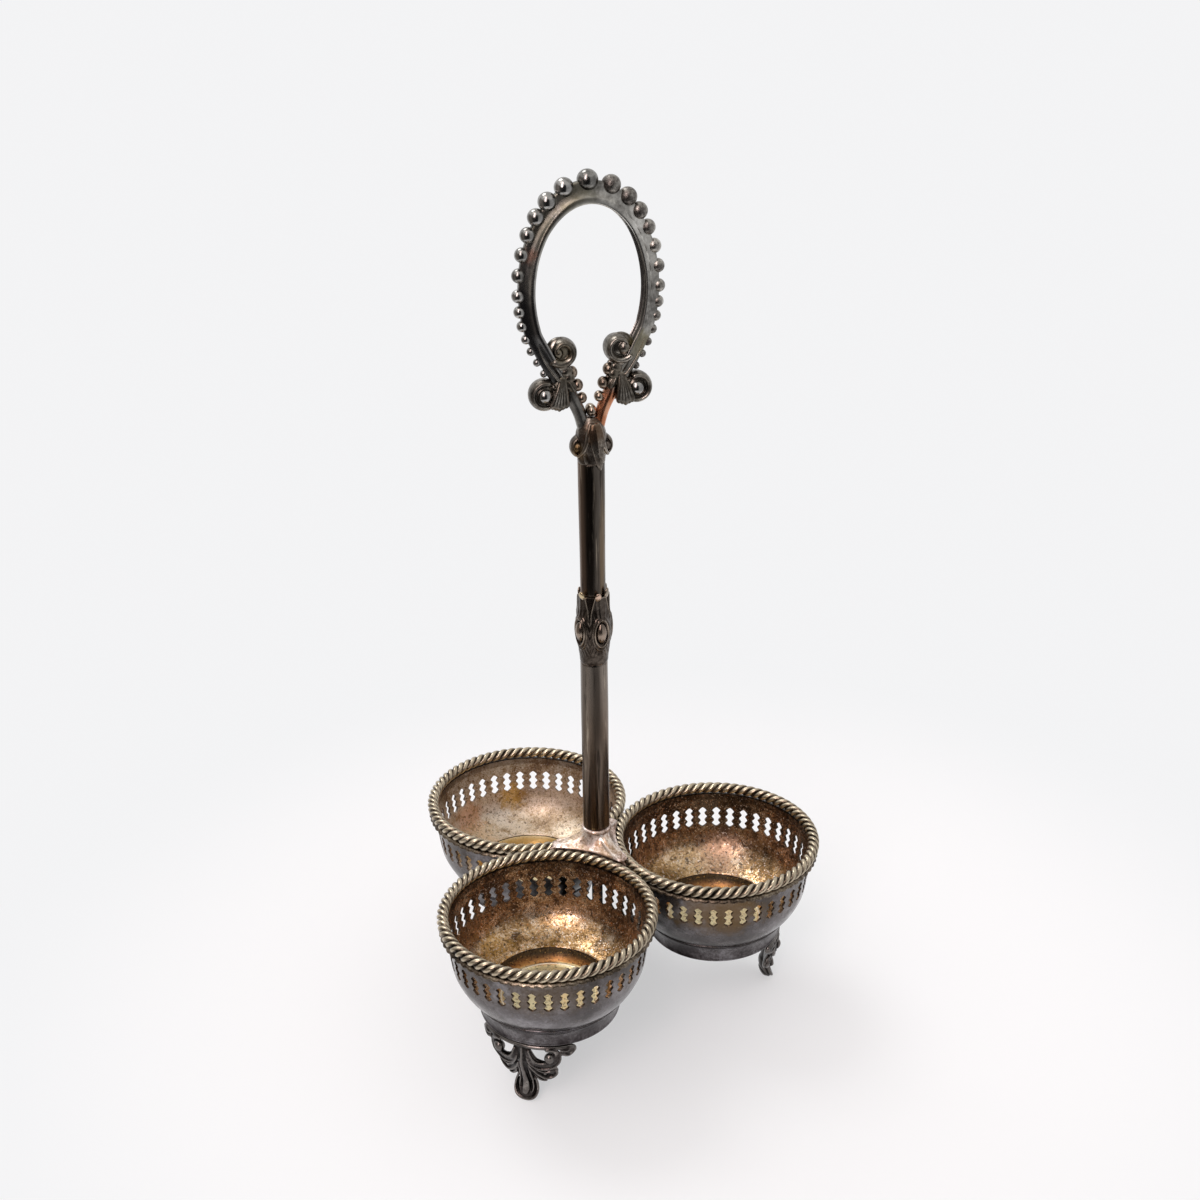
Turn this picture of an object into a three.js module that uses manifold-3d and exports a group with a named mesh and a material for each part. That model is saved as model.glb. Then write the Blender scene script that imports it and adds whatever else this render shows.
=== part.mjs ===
// Three-bowl condiment stand in tarnished silver plate, in millimetres, +Z up.
// The origin is on the floor, under the middle of the stand's bounding box.
// Three pierced bowls with twisted rope rims sit on footed base cups round a central stem.
// The stem carries a jewelled knop and an oval ring handle edged with graduated balls.
import * as THREE from "three";
import { mergeGeometries, mergeVertices } from "three/addons/utils/BufferGeometryUtils.js";
import Module from "manifold-3d";

const wasm = await Module();
wasm.setup();

const GAP = 0.3; // clearance between two pieces that touch in the real stand

// Foot casting
const FOOT_HEIGHT = 25.45;
const FOOT_WIDTH = 31; // along its top bar
const TOE = 5.0; // half the toe's width

// Rope border
const ROPE_RADIUS = 36; // of its centre line
const ROPE_SIZE = 2.1; // centre of the rope to its strands' crowns
const ROPE_STRANDS = 70;

// Bowl sheet, as [distance inside the rope's centre line, height above the hem] from the hem to the rim
const BOWL_PROFILE = [[8.8, 0], [5.8, 3.8], [3.3, 8.6], [2.2, 12.6], [0.9, 22.4], [0.4, 27.0]];
const BOWL_SHEET = 1.1;
const SLOTS = 40;
const SLOT_PHASE = 1.5; // degrees from the facet edges to the front bowl's pattern

// Base cup
const CUP_HEIGHT = 7.95;
const CUP_TAPER = 2.1; // how much smaller its lower edge is than its top
const CUP_SHELF = 6.6; // width of the ring that the bowl's hem rests on

// Heights of the lower pieces, each standing on the one before
const CUP_FOOT = FOOT_HEIGHT + GAP;
const CUP_FLOOR = CUP_FOOT + 1.55;
const BOWL_FOOT = CUP_FOOT + CUP_HEIGHT + GAP;
const BOWL_OUTER = BOWL_PROFILE.map(([inset, rise]) => [ROPE_RADIUS - inset, BOWL_FOOT + rise]);
const [HEM_RADIUS] = BOWL_OUTER[0];
const CUP_RADIUS = HEM_RADIUS - 0.5 - CUP_TAPER; // at the lower edge
const BOWL_MOUTH_BELOW = HEM_RADIUS - CUP_SHELF; // hole in the bowl's bottom, open to the base cup
const RIM_HEIGHT = BOWL_OUTER[5][1] + GAP + ROPE_SIZE;

// Layout: three bowls whose rope borders all but touch
const ROPE_CLEARANCE = 0.356;
const BOWL_DISTANCE = (2 * (ROPE_RADIUS + ROPE_SIZE) + ROPE_CLEARANCE) / Math.sqrt(3);
const FRONT_ANGLE = -90; // degrees round the stem to the front bowl
const PLACES = ["front", "right", "left"]; // evenly spaced, going round from the front
const HANDLE_ANGLE = 38.5; // degrees from +X to the plane of the ring

// Stem
const ROD_RADIUS = 2.0;
const BORE = ROD_RADIUS + 0.35; // running room round the tie rod
const HUB_RISE = 5.6; // from the ropes' crowns to the hub's top
const HUB_WAIST = 5.0;
const HUB_TIP = 2.8; // radius of each of its three rounded tips
const BEAD_HEIGHT = 1.3;
const LOWER_TUBE_LENGTH = 67.1;
const KNOP_HEIGHT = 24.7;
const UPPER_TUBE_LENGTH = 47.4;
const COLLAR_HEIGHT = 10.1;

// Heights of the stem's pieces, each standing on the one before
const HUB_UNDER = RIM_HEIGHT + ROPE_SIZE + GAP;
const HUB_TOP = HUB_UNDER + HUB_RISE;
const BEAD_FOOT = HUB_TOP + GAP;
const LOWER_TUBE_FOOT = BEAD_FOOT + BEAD_HEIGHT + GAP;
const KNOP_FOOT = LOWER_TUBE_FOOT + LOWER_TUBE_LENGTH + GAP;
const KNOP_TOP = KNOP_FOOT + KNOP_HEIGHT;
const UPPER_TUBE_FOOT = KNOP_TOP + GAP;
const COLLAR_FOOT = UPPER_TUBE_FOOT + UPPER_TUBE_LENGTH + GAP;
const COLLAR_TOP = COLLAR_FOOT + COLLAR_HEIGHT;

// Ring handle: two ovals about one centre, the inner edge and the row of ball centres
const RING_RISE = 46.8; // from the collar's top to the ovals' centre
const RING_MIDDLE = COLLAR_TOP + RING_RISE;
const RING_INNER = [18.0, 27.2];
const RING_OUTER = [23.0, 34.3];
const TOP_BALL = 3.1;
// [degrees from the top of the oval, radius] of the balls down each side
const SIDE_BALLS = [
  [19.2, 2.9], [34.1, 2.8], [46.1, 2.55], [57.4, 2.35], [68.6, 2.2], [79.8, 2.15], [90.5, 2.0],
  [99.1, 1.85], [107.0, 1.7], [114.6, 1.45], [122.4, 1.3], [130.3, 1.2], [139.3, 1.2],
];
// [side, share of the rise] of the beads in the fork below the ring
const FORK_BEADS = [[6.6, 0.408], [4.7, 0.323], [3.2, 0.237]];

// Fixings under the stand
const WASHER_THICKNESS = 1.0;
const NUT_HEIGHT = 3.1;
const BRACE_FOOT = CUP_FOOT + 0.4;
const BRACE_HEIGHT = 5.45;
const WASHER_FOOT = BRACE_FOOT - GAP - WASHER_THICKNESS;
const NUT_FOOT = WASHER_FOOT - GAP - NUT_HEIGHT;
const ROD_END = 1.0; // of thread below the nut
const ROD_REACH = 2.9; // into the handle, above the collar

const { degToRad } = THREE.MathUtils;

// Degrees round the stem to a bowl.
function bowlAngle(place) {
  return FRONT_ANGLE + (PLACES.indexOf(place) * 360) / PLACES.length;
}

// Colours of old plate: each piece has its own material.
function plate(color, roughness) {
  return new THREE.MeshStandardMaterial({ color, roughness, metalness: 0.9 });
}

// Turns a geometry into a solid, with its faces pointing out.
function solid(geometry) {
  const plain = geometry.index ? geometry.toNonIndexed() : geometry.clone();
  plain.deleteAttribute("normal");
  plain.deleteAttribute("uv");
  const merged = mergeVertices(plain, 1e-3);
  const vertProperties = merged.attributes.position.array;
  const triVerts = new Uint32Array(merged.index.array);
  const corner = (i) => new THREE.Vector3().fromArray(vertProperties, 3 * triVerts[i]);
  let volume = 0;
  for (let i = 0; i < triVerts.length; i += 3) {
    volume += corner(i).dot(corner(i + 1).cross(corner(i + 2)));
  }
  if (volume < 0) {
    for (let i = 0; i < triVerts.length; i += 3) {
      [triVerts[i + 1], triVerts[i + 2]] = [triVerts[i + 2], triVerts[i + 1]];
    }
  }
  return new wasm.Manifold(new wasm.Mesh({ numProp: 3, vertProperties, triVerts }));
}

// Joins geometries into one solid.
function join(geometries) {
  return geometries.map(solid).reduce((all, next) => all.add(next));
}

// Turns a solid back into a geometry with flat facets.
function facets(made) {
  const mesh = made.getMesh();
  const points = new Float32Array(mesh.triVerts.length * 3);
  mesh.triVerts.forEach((v, i) => {
    points.set(mesh.vertProperties.subarray(v * mesh.numProp, v * mesh.numProp + 3), i * 3);
  });
  const geometry = new THREE.BufferGeometry();
  geometry.setAttribute("position", new THREE.BufferAttribute(points, 3));
  geometry.computeVertexNormals();
  return geometry;
}

// Moves every vertex of a geometry by a function of its position.
function reshape(geometry, move) {
  const position = geometry.attributes.position;
  const p = new THREE.Vector3();
  for (let i = 0; i < position.count; i++) {
    p.fromBufferAttribute(position, i);
    move(p);
    position.setXYZ(i, p.x, p.y, p.z);
  }
  return geometry;
}

// A turned shape about +Z from [radius, height] pairs. A profile off the axis is closed.
function turned(profile, segments, phase = 0) {
  const closed = profile[0][0] > 0 ? [...profile, profile[0]] : profile;
  const points = closed.map(([r, z]) => new THREE.Vector2(r, z));
  return new THREE.LatheGeometry(points, segments, degToRad(phase)).rotateX(Math.PI / 2);
}

function ball(radius, x, y, z, detail = 1) {
  return new THREE.IcosahedronGeometry(radius, detail).translate(x, y, z);
}

function bead(radius, x, y, z) {
  return new THREE.OctahedronGeometry(radius, 1).translate(x, y, z);
}

// A bar along a curve in the XZ plane. Its section is a polygon of [across, out] points:
// across runs along Y, out runs to the left of the way the curve goes, and sizeAt(t)
// gives both half sizes.
function bar(curve, steps, section, sizeAt) {
  const sides = section.length;
  const shape = new THREE.CylinderGeometry(1, 1, 1, sides, steps);
  return reshape(shape, (p) => {
    const t = THREE.MathUtils.clamp(p.y + 0.5, 0, 1);
    const here = curve.getPointAt(t);
    const along = curve.getTangentAt(t);
    const out = new THREE.Vector3(-along.z, 0, along.x);
    const [across, deep] = sizeAt(t);
    let point = [0, 0];
    if (Math.hypot(p.x, p.z) > 0.5) {
      const turn = (Math.atan2(p.x, p.z) / (2 * Math.PI) + 1) % 1;
      point = section[Math.round(turn * sides) % sides];
    }
    p.copy(here).addScaledVector(out, point[1] * deep);
    p.y += point[0] * across;
  });
}

function roundSection(sides) {
  return Array.from({ length: sides }, (_, i) => {
    const angle = (2 * Math.PI * (i + 0.5)) / sides;
    return [Math.sin(angle), Math.cos(angle)];
  });
}

function flatCurve(points) {
  return new THREE.CatmullRomCurve3(points.map(([x, z]) => new THREE.Vector3(x, 0, z)));
}

// Linear reading of a table of [position, value, value...] rows.
function lookUp(table, at) {
  const last = table.length - 1;
  let i = 0;
  while (i < last - 1 && at > table[i + 1][0]) {
    i += 1;
  }
  const [low, high] = [table[i], table[i + 1]];
  const share = THREE.MathUtils.clamp((at - low[0]) / (high[0] - low[0]), 0, 1);
  return low.slice(1).map((value, k) => THREE.MathUtils.lerp(value, high[k + 1], share));
}

// Square bar twisted along a ring, so that each corner reads as one strand of the rope.
function ropeBorder() {
  const steps = 2 * ROPE_STRANDS;
  const ring = new THREE.TorusGeometry(ROPE_RADIUS, ROPE_SIZE, 4, steps);
  return reshape(ring, (p) => {
    const round = Math.atan2(p.y, p.x);
    const out = Math.hypot(p.x, p.y) - ROPE_RADIUS;
    const turn = Math.atan2(p.z, out) + (round * ROPE_STRANDS) / 4;
    const radius = ROPE_RADIUS + ROPE_SIZE * Math.cos(turn);
    const height = RIM_HEIGHT + ROPE_SIZE * Math.sin(turn);
    p.set(radius * Math.cos(round), radius * Math.sin(round), height);
  });
}

// Outline of one slot, three lozenges in a chain, clockwise.
function slotOutline() {
  const half = [[1.5, 2.6], [0.85, 1.35], [1.6, 0], [0.85, -1.35], [1.5, -2.6]];
  const outline = [[0, 3.9], ...half, [0, -3.9], ...half.map(([x, y]) => [-x, y]).reverse()];
  const middle = (BOWL_OUTER[3][1] + BOWL_OUTER[4][1]) / 2;
  return outline.map(([x, y]) => new THREE.Vector2(x, y + middle));
}

function positionsOnly(geometry) {
  const plain = geometry.index ? geometry.toNonIndexed() : geometry;
  plain.deleteAttribute("normal");
  plain.deleteAttribute("uv");
  return plain;
}

// One flat facet of the pierced band, facing -Y, with its slot. edge is [low, high] points.
function slotPanel([low, high], facing) {
  const half = Math.PI / SLOTS;
  const radiusAt = (z) => lookUp([[low[1], low[0]], [high[1], high[0]]], z)[0];
  const place = (x, z) => new THREE.Vector3(x, -radiusAt(z) * Math.cos(half), z);
  const side = ([r, z], sign) => new THREE.Vector2(sign * r * Math.sin(half), z);
  const shape = new THREE.Shape([side(low, -1), side(low, 1), side(high, 1), side(high, -1)]);
  shape.holes.push(new THREE.Path(slotOutline()));
  const panel = positionsOnly(new THREE.ShapeGeometry(shape));
  reshape(panel, (p) => p.copy(place(p.x, p.y)));
  if (facing < 0) {
    const p = panel.attributes.position.array;
    for (let i = 0; i < p.length; i += 9) {
      const first = p.slice(i, i + 3);
      p.copyWithin(i, i + 3, i + 6);
      p.set(first, i + 3);
    }
  }
  return { panel, outline: slotOutline().map((v) => place(v.x, v.y)) };
}

// The sheet's edge inside one slot, between the outlines on its two faces.
function slotWalls(outer, inner) {
  const corners = outer.flatMap((start, i) => {
    const next = (i + 1) % outer.length;
    return [outer[next], start, inner[i], outer[next], inner[i], inner[next]];
  });
  return new THREE.BufferGeometry().setFromPoints(corners);
}

// Bowl of thin sheet: two turned parts, and between them a band of flat facets with a slot each.
function piercedBowl() {
  const [bandLow, bandHigh] = [BOWL_OUTER[3], BOWL_OUTER[4]];
  const inside = ([r, z]) => [r - BOWL_SHEET, z];
  const hemTop = BOWL_OUTER[0][1] + BOWL_SHEET;
  const below = [
    inside(bandLow),
    [BOWL_OUTER[2][0] - 1.0, BOWL_OUTER[2][1] + 0.4],
    [BOWL_OUTER[1][0] - 0.9, BOWL_OUTER[1][1] + 0.8],
    [BOWL_OUTER[0][0] - 0.2, hemTop],
    [BOWL_MOUTH_BELOW, hemTop],
    [BOWL_MOUTH_BELOW, BOWL_OUTER[0][1]],
    ...BOWL_OUTER.slice(0, 4),
  ];
  const above = [bandHigh, BOWL_OUTER[5], inside(BOWL_OUTER[5]), inside(bandHigh)];
  const open = [below, above].map((profile) => {
    const points = profile.map(([r, z]) => new THREE.Vector2(r, z));
    const turnedPart = new THREE.LatheGeometry(points, SLOTS, degToRad(SLOT_PHASE));
    return positionsOnly(turnedPart.rotateX(Math.PI / 2));
  });
  const outer = slotPanel([bandLow, bandHigh], 1);
  const inner = slotPanel([inside(bandLow), inside(bandHigh)], -1);
  const facet = [outer.panel, inner.panel, slotWalls(outer.outline, inner.outline)];
  const band = [];
  for (let i = 0; i < SLOTS; i++) {
    const angle = degToRad(SLOT_PHASE + ((i + 0.5) * 360) / SLOTS);
    band.push(...facet.map((shape) => shape.clone().rotateZ(angle)));
  }
  return facets(solid(mergeGeometries([...open, ...band])));
}

// Outside radius of the base cup at a height.
function cupRadiusAt(z) {
  return CUP_RADIUS + (CUP_TAPER * (z - CUP_FOOT)) / CUP_HEIGHT;
}

function baseCup() {
  const top = CUP_FOOT + CUP_HEIGHT;
  return turned(
    [
      [0, CUP_FLOOR - 0.9],
      [CUP_RADIUS - 1.2, CUP_FLOOR - 0.9],
      [CUP_RADIUS - 1.2, CUP_FOOT],
      [CUP_RADIUS, CUP_FOOT],
      [cupRadiusAt(top), top],
      [BOWL_MOUTH_BELOW, top],
      [BOWL_MOUTH_BELOW, top - 1.0],
      [cupRadiusAt(top) - 1.5, top - 1.0],
      [CUP_RADIUS - 1.8, CUP_FLOOR],
      [0, CUP_FLOOR],
    ],
    32,
  );
}

// Cast scroll foot, drawn flat with x across, -y out and z up, then bent round the cup.
function scrollFoot() {
  const top = FOOT_HEIGHT;
  // [height, half width, half depth] of the middle rib and the spoon-shaped toe
  const rib = [
    [0, 3.2, 1.7], [1.4, 4.5, 2.7], [4.2, TOE, 3.1], [7.4, 4.3, 2.9],
    [10.5, 2.7, 2.3], [15, 1.9, 1.7], [20, 1.6, 1.5], [top, 3.0, 1.2],
  ];
  const line = new THREE.LineCurve3(new THREE.Vector3(0, 0, 0), new THREE.Vector3(0, 0, top));
  const toe = bar(line, 8, roundSection(6), (t) => {
    const [width, depth] = lookUp(rib, t * top);
    return [depth, width];
  });
  const pieces = [toe];
  pieces.push(new THREE.BoxGeometry(FOOT_WIDTH, 2.0, 1.6, 6, 1, 1).translate(0, 0, top - 0.8));
  for (const side of [-1, 1]) {
    const scroll = new THREE.TorusGeometry(4.3, 1.35, 4, 9).rotateX(Math.PI / 2);
    pieces.push(scroll.translate(side * 7.6, 0, top - 7.85));
    pieces.push(bead(1.9, side * 9.6, -0.6, top - 6.85));
    const lobe = bead(1, 0, 0, 0).scale(3.2, 1.5, 2.6);
    pieces.push(lobe.translate(side * (FOOT_WIDTH / 2 - 1.3), 0, top - 3.05));
    pieces.push(bead(1, 0, 0, 0).scale(4.4, 1.7, 2.3).translate(side * 6.6, 0, top - 14.05));
  }
  // [height, distance inside the bend] of the casting's middle surface
  const bend = CUP_RADIUS - 0.2;
  const lean = [[0, 1.8], [2, 2.4], [5, 4.1], [8, 4.7], [12, 3.8], [18, 1.6], [top, 0.4]];
  return reshape(facets(join(pieces)), (p) => {
    const radius = bend - lookUp(lean, p.z)[0] - p.y;
    const angle = p.x / bend;
    p.set(radius * Math.sin(angle), -radius * Math.cos(angle), p.z);
  });
}

// How far the hub reaches at an angle: hollow sides that follow the ropes, and three round tips
// that lie between neighbouring bowls.
function hubReach(angle) {
  const third = (2 * Math.PI) / 3;
  const tip = degToRad(FRONT_ANGLE + 180);
  const off = Math.abs(THREE.MathUtils.euclideanModulo(angle - tip + third / 2, third) - third / 2);
  const tipMiddle = BOWL_DISTANCE / 2 - 8.5;
  const tipAcross = tipMiddle * Math.sin(off);
  const hollow = ROPE_RADIUS + 0.8;
  const across = BOWL_DISTANCE * Math.sin(third / 2 - off);
  let reach = Infinity;
  if (tipAcross < HUB_TIP) {
    reach = tipMiddle * Math.cos(off) + Math.sqrt(HUB_TIP ** 2 - tipAcross ** 2);
  }
  if (across < hollow) {
    const side = BOWL_DISTANCE * Math.cos(third / 2 - off) - Math.sqrt(hollow ** 2 - across ** 2);
    reach = Math.min(reach, side);
  }
  return reach;
}

function hub() {
  const skirt = HUB_UNDER - 5.8;
  const spread = 10; // width of the plain disc that is stretched out to the hub's outline
  const disc = turned(
    [
      [BORE, skirt],
      [HUB_WAIST - 0.1, skirt],
      [HUB_WAIST, HUB_UNDER],
      [HUB_WAIST + spread, HUB_UNDER],
      [HUB_WAIST + spread, HUB_UNDER + 0.9],
      [HUB_WAIST + 0.7 * spread, HUB_UNDER + 1.3],
      [HUB_WAIST + 0.4 * spread, HUB_UNDER + 2.1],
      [HUB_WAIST + 0.15 * spread, HUB_UNDER + 3.4],
      [HUB_WAIST, HUB_TOP],
      [BORE, HUB_TOP],
    ],
    36,
  );
  return reshape(disc, (p) => {
    const radius = Math.hypot(p.x, p.y);
    if (radius > HUB_WAIST + 1e-3) {
      const angle = Math.atan2(p.y, p.x);
      const share = (radius - HUB_WAIST) / spread;
      const reach = HUB_WAIST + (hubReach(angle) - HUB_WAIST) * share;
      p.x *= reach / radius;
      p.y *= reach / radius;
    }
  });
}

// Knop with four oval cabochons in raised frames, and a crown of leaf tips.
function knop() {
  const body = turned(
    [
      [BORE, KNOP_FOOT],
      [4.7, KNOP_FOOT],
      [5.7, KNOP_FOOT + 3.0],
      [6.5, KNOP_FOOT + 6.3],
      [6.7, KNOP_FOOT + 11.3],
      [6.1, KNOP_FOOT + 15.8],
      [5.3, KNOP_FOOT + 19.8],
      [5.1, KNOP_TOP],
      [BORE, KNOP_TOP],
    ],
    16,
  );
  const pieces = [body];
  for (let i = 0; i < 4; i++) {
    const angle = degToRad(FRONT_ANGLE + 144 + 90 * i);
    const frame = new THREE.TorusGeometry(1, 0.2, 3, 10).scale(2.7, 4.9, 4);
    const place = (shape, radius, height) =>
      shape.rotateX(Math.PI / 2).rotateZ(Math.PI / 2).translate(radius, 0, height).rotateZ(angle);
    pieces.push(place(frame, 6.1, KNOP_FOOT + 9.7));
    pieces.push(place(bead(1, 0, 0, 0).scale(1.9, 3.4, 1.6), 6.1, KNOP_FOOT + 9.3));
    pieces.push(leafTip(5.2, KNOP_TOP - 3, KNOP_TOP + 2.0, angle));
    pieces.push(leafTip(5.2, KNOP_TOP - 3, KNOP_TOP + 1.2, angle + Math.PI / 4));
  }
  return facets(join(pieces));
}

// A small upright leaf tip standing at a radius from the stem axis.
function leafTip(radius, foot, tip, angle) {
  const height = tip - foot;
  const leaf = new THREE.ConeGeometry(1, height, 4).rotateX(Math.PI / 2).scale(0.6, 1.5, 1);
  return leaf.translate(radius, 0, (foot + tip) / 2).rotateZ(angle);
}

function handleCollar() {
  const body = turned(
    [
      [BORE, COLLAR_FOOT],
      [4.7, COLLAR_FOOT],
      [5.1, COLLAR_FOOT + 3.1],
      [5.3, COLLAR_FOOT + 6.6],
      [4.8, COLLAR_TOP],
      [BORE, COLLAR_TOP],
    ],
    16,
  );
  const pieces = [body];
  for (const side of [-1, 1]) {
    pieces.push(bead(1.8, side * 5.6, 0, COLLAR_FOOT + 5.8));
    const hanging = new THREE.ConeGeometry(1, 7, 4).rotateX(-Math.PI / 2).scale(2.1, 0.7, 1);
    pieces.push(hanging.translate(0, side * 5.25, COLLAR_FOOT + 0.8));
  }
  return facets(join(pieces));
}

// A scroll that curls from a start angle through most of a turn, round a ball eye.
function volute(x, z, start, way) {
  const points = Array.from({ length: 12 }, (_, i) => {
    const t = i / 11;
    const angle = degToRad(start + way * 300 * t);
    const radius = THREE.MathUtils.lerp(3.75, 2.5, t);
    return [x + radius * Math.cos(angle), z + radius * Math.sin(angle)];
  });
  const curl = bar(flatCurve(points), 7, roundSection(5), (t) => [2.7 - 0.8 * t, 1.45 - 0.5 * t]);
  return [curl, bead(2.1, x, 0, z)];
}

function ringHandle() {
  const rise = (share) => COLLAR_TOP + share * RING_RISE;
  const middle = RING_INNER.map((inner, i) => (inner + RING_OUTER[i]) / 2);
  const [sideHalf, topHalf] = RING_INNER.map((inner, i) => (RING_OUTER[i] - inner) / 2);
  // [side, share of the rise] up one arm of the fork
  const arm = [
    [2.6, 0.024], [3.1, 0.079], [3.9, 0.143], [5.1, 0.207], [6.8, 0.28],
    [8.8, 0.35], [11.1, 0.423], [13.6, 0.511], [16.0, 0.609],
  ];
  const oval = [];
  for (let degrees = 116; degrees >= 0; degrees -= 11.6) {
    const angle = degToRad(degrees);
    oval.push([middle[0] * Math.sin(angle), RING_MIDDLE + middle[1] * Math.cos(angle)]);
  }
  const right = [...arm.map(([x, share]) => [x, rise(share)]), ...oval.slice(0, -1)];
  const left = right.map(([x, z]) => [-x, z]).reverse();
  const path = flatCurve([...right, [0, RING_MIDDLE + middle[1]], ...left]);
  // Wide flat inner face, hollowed sides and a narrow outer edge that carries the balls
  const section = [[1, 1], [1, 0.15], [0.42, -1], [-0.42, -1], [-1, 0.15], [-1, 1]];
  // [height, half width across the plane, half thickness in it]
  const sizes = [
    [rise(0.01), 2.2, 1.9],
    [rise(0.182), 2.3, 2.2],
    [rise(0.353), 2.5, 2.7],
    [rise(0.609), 3.0, sideHalf],
    [rise(0.994), 3.1, sideHalf - 0.05],
    [RING_MIDDLE + 0.64 * middle[1], 3.1, sideHalf + 0.2],
    [RING_MIDDLE + middle[1], 3.1, topHalf - 0.1],
  ];
  const band = bar(path, 38, section, (t) => lookUp(sizes, path.getPointAt(t).z));
  const pieces = [band];
  pieces.push(ball(TOP_BALL, 0, 0, RING_MIDDLE + RING_OUTER[1]));
  const foot = COLLAR_TOP + GAP;
  pieces.push(turned([[0, foot], [4.3, foot], [4.1, foot + 2.6], [0, foot + 4.4]], 16));
  for (const side of [-1, 1]) {
    for (const [degrees, radius] of SIDE_BALLS) {
      const angle = degToRad(degrees);
      const [x, z] = [RING_OUTER[0] * Math.sin(angle), RING_OUTER[1] * Math.cos(angle)];
      const shape = radius > 2.5 ? ball : bead;
      pieces.push(shape(radius, side * x, 0, RING_MIDDLE + z));
    }
    for (const [x, share] of FORK_BEADS) {
      pieces.push(bead(1.6, side * x, 0, rise(share)));
    }
    pieces.push(bead(1.6, 0, side * 2.2, rise(0.173)));
    pieces.push(...volute(side * 9.3, rise(0.588), side > 0 ? -30 : 210, -side));
    pieces.push(...volute(side * 15.6, rise(0.299), side > 0 ? 130 : 50, -side));
    const leaf = bead(1, 0, 0, 0).scale(3.0, 2.4, 5.4).rotateY(-side * 0.2);
    pieces.push(leaf.translate(side * 11.0, 0, rise(0.28)));
    pieces.push(leafTip(2.4, foot + 1.2, foot + 6.6, side * Math.PI / 2));
  }
  const end = COLLAR_TOP + ROD_REACH + 0.6;
  const socket = turned([[0, COLLAR_TOP], [BORE, COLLAR_TOP], [BORE, end], [0, end]], 12);
  return facets(join(pieces).subtract(solid(socket)));
}

// Three-armed brace under the stand, between the base cups.
function brace() {
  const top = BRACE_FOOT + BRACE_HEIGHT;
  const armHeight = BRACE_HEIGHT - 1.25;
  const reach = BOWL_DISTANCE - cupRadiusAt(BRACE_FOOT + armHeight) - 0.2;
  const pieces = [turned([[0, BRACE_FOOT], [6.4, BRACE_FOOT], [6.4, top], [0, top]], 18)];
  for (const place of PLACES) {
    const arm = new THREE.BoxGeometry(reach, 5, armHeight);
    arm.translate(reach / 2, 0, BRACE_FOOT + armHeight / 2);
    pieces.push(arm.rotateZ(degToRad(bowlAngle(place))));
  }
  const hole = turned([[0, BRACE_FOOT - 5], [BORE, BRACE_FOOT - 5], [BORE, top + 5], [0, top + 5]], 18);
  return facets(join(pieces).subtract(solid(hole)));
}

function tube(low, length, lowRadius, highRadius) {
  const wall = 0.8;
  const high = low + length;
  const profile = [[lowRadius - wall, low], [lowRadius, low], [highRadius, high], [highRadius - wall, high]];
  return turned(profile, 24);
}

// Bead ring between the hub and the lower tube.
function stemBead() {
  const rim = HUB_WAIST + 0.15;
  const top = BEAD_FOOT + BEAD_HEIGHT;
  return turned(
    [
      [BORE, BEAD_FOOT],
      [rim - 0.65, BEAD_FOOT],
      [rim, BEAD_FOOT + 0.45],
      [rim, top - 0.4],
      [rim - 0.55, top],
      [BORE, top],
    ],
    24,
  );
}

// A plain ring or nut round the tie rod.
function collarOf(radius, low, height, sides) {
  return turned([[BORE, low], [radius, low], [radius, low + height], [BORE, low + height]], sides);
}

function tieRod() {
  const low = NUT_FOOT - ROD_END;
  const length = COLLAR_TOP + ROD_REACH - low;
  const rod = new THREE.CylinderGeometry(ROD_RADIUS, ROD_RADIUS, length, 12).rotateX(Math.PI / 2);
  return rod.translate(0, 0, low + length / 2);
}

const stand = new THREE.Group();
stand.name = "condiment_stand";

function addPiece(parent, name, geometry, material) {
  const mesh = new THREE.Mesh(geometry, material);
  mesh.name = name;
  parent.add(mesh);
}

const bowlShape = piercedBowl();
const footShape = scrollFoot();
for (const place of PLACES) {
  const group = new THREE.Group();
  const angle = degToRad(bowlAngle(place));
  group.position.set(BOWL_DISTANCE * Math.cos(angle), BOWL_DISTANCE * Math.sin(angle), 0);
  group.rotation.z = angle + Math.PI / 2;
  addPiece(group, `bowl_${place}`, bowlShape, plate(0x6b5f55, 0.42));
  addPiece(group, `rope_border_${place}`, ropeBorder(), plate(0x9a938a, 0.38));
  addPiece(group, `base_cup_${place}`, baseCup(), plate(0x5d5750, 0.45));
  addPiece(group, `scroll_foot_${place}`, footShape, plate(0x2c2927, 0.4));
  stand.add(group);
}

addPiece(stand, "hub", hub(), plate(0xb3a6a0, 0.4));
addPiece(stand, "stem_bead", stemBead(), plate(0xc2b8ae, 0.35));
const lowerTube = tube(LOWER_TUBE_FOOT, LOWER_TUBE_LENGTH, 4.6, 4.5);
addPiece(stand, "lower_tube", lowerTube, plate(0x2b2724, 0.3));
addPiece(stand, "knop", knop(), plate(0x4a4540, 0.4));
const upperTube = tube(UPPER_TUBE_FOOT, UPPER_TUBE_LENGTH, 4.1, 4.3);
addPiece(stand, "upper_tube", upperTube, plate(0x37322e, 0.3));

const handle = new THREE.Group();
handle.rotation.z = degToRad(HANDLE_ANGLE);
addPiece(handle, "handle_collar", handleCollar(), plate(0x4f4740, 0.4));
addPiece(handle, "ring_handle", ringHandle(), plate(0x474743, 0.35));
stand.add(handle);

addPiece(stand, "brace", brace(), plate(0x2a2725, 0.5));
addPiece(stand, "tie_rod", tieRod(), plate(0x55504a, 0.5));
const washer = collarOf(5.2, WASHER_FOOT, WASHER_THICKNESS, 12);
addPiece(stand, "washer", washer, plate(0x55504a, 0.5));
addPiece(stand, "nut", collarOf(4.4, NUT_FOOT, NUT_HEIGHT, 6), plate(0x55504a, 0.5));

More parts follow.
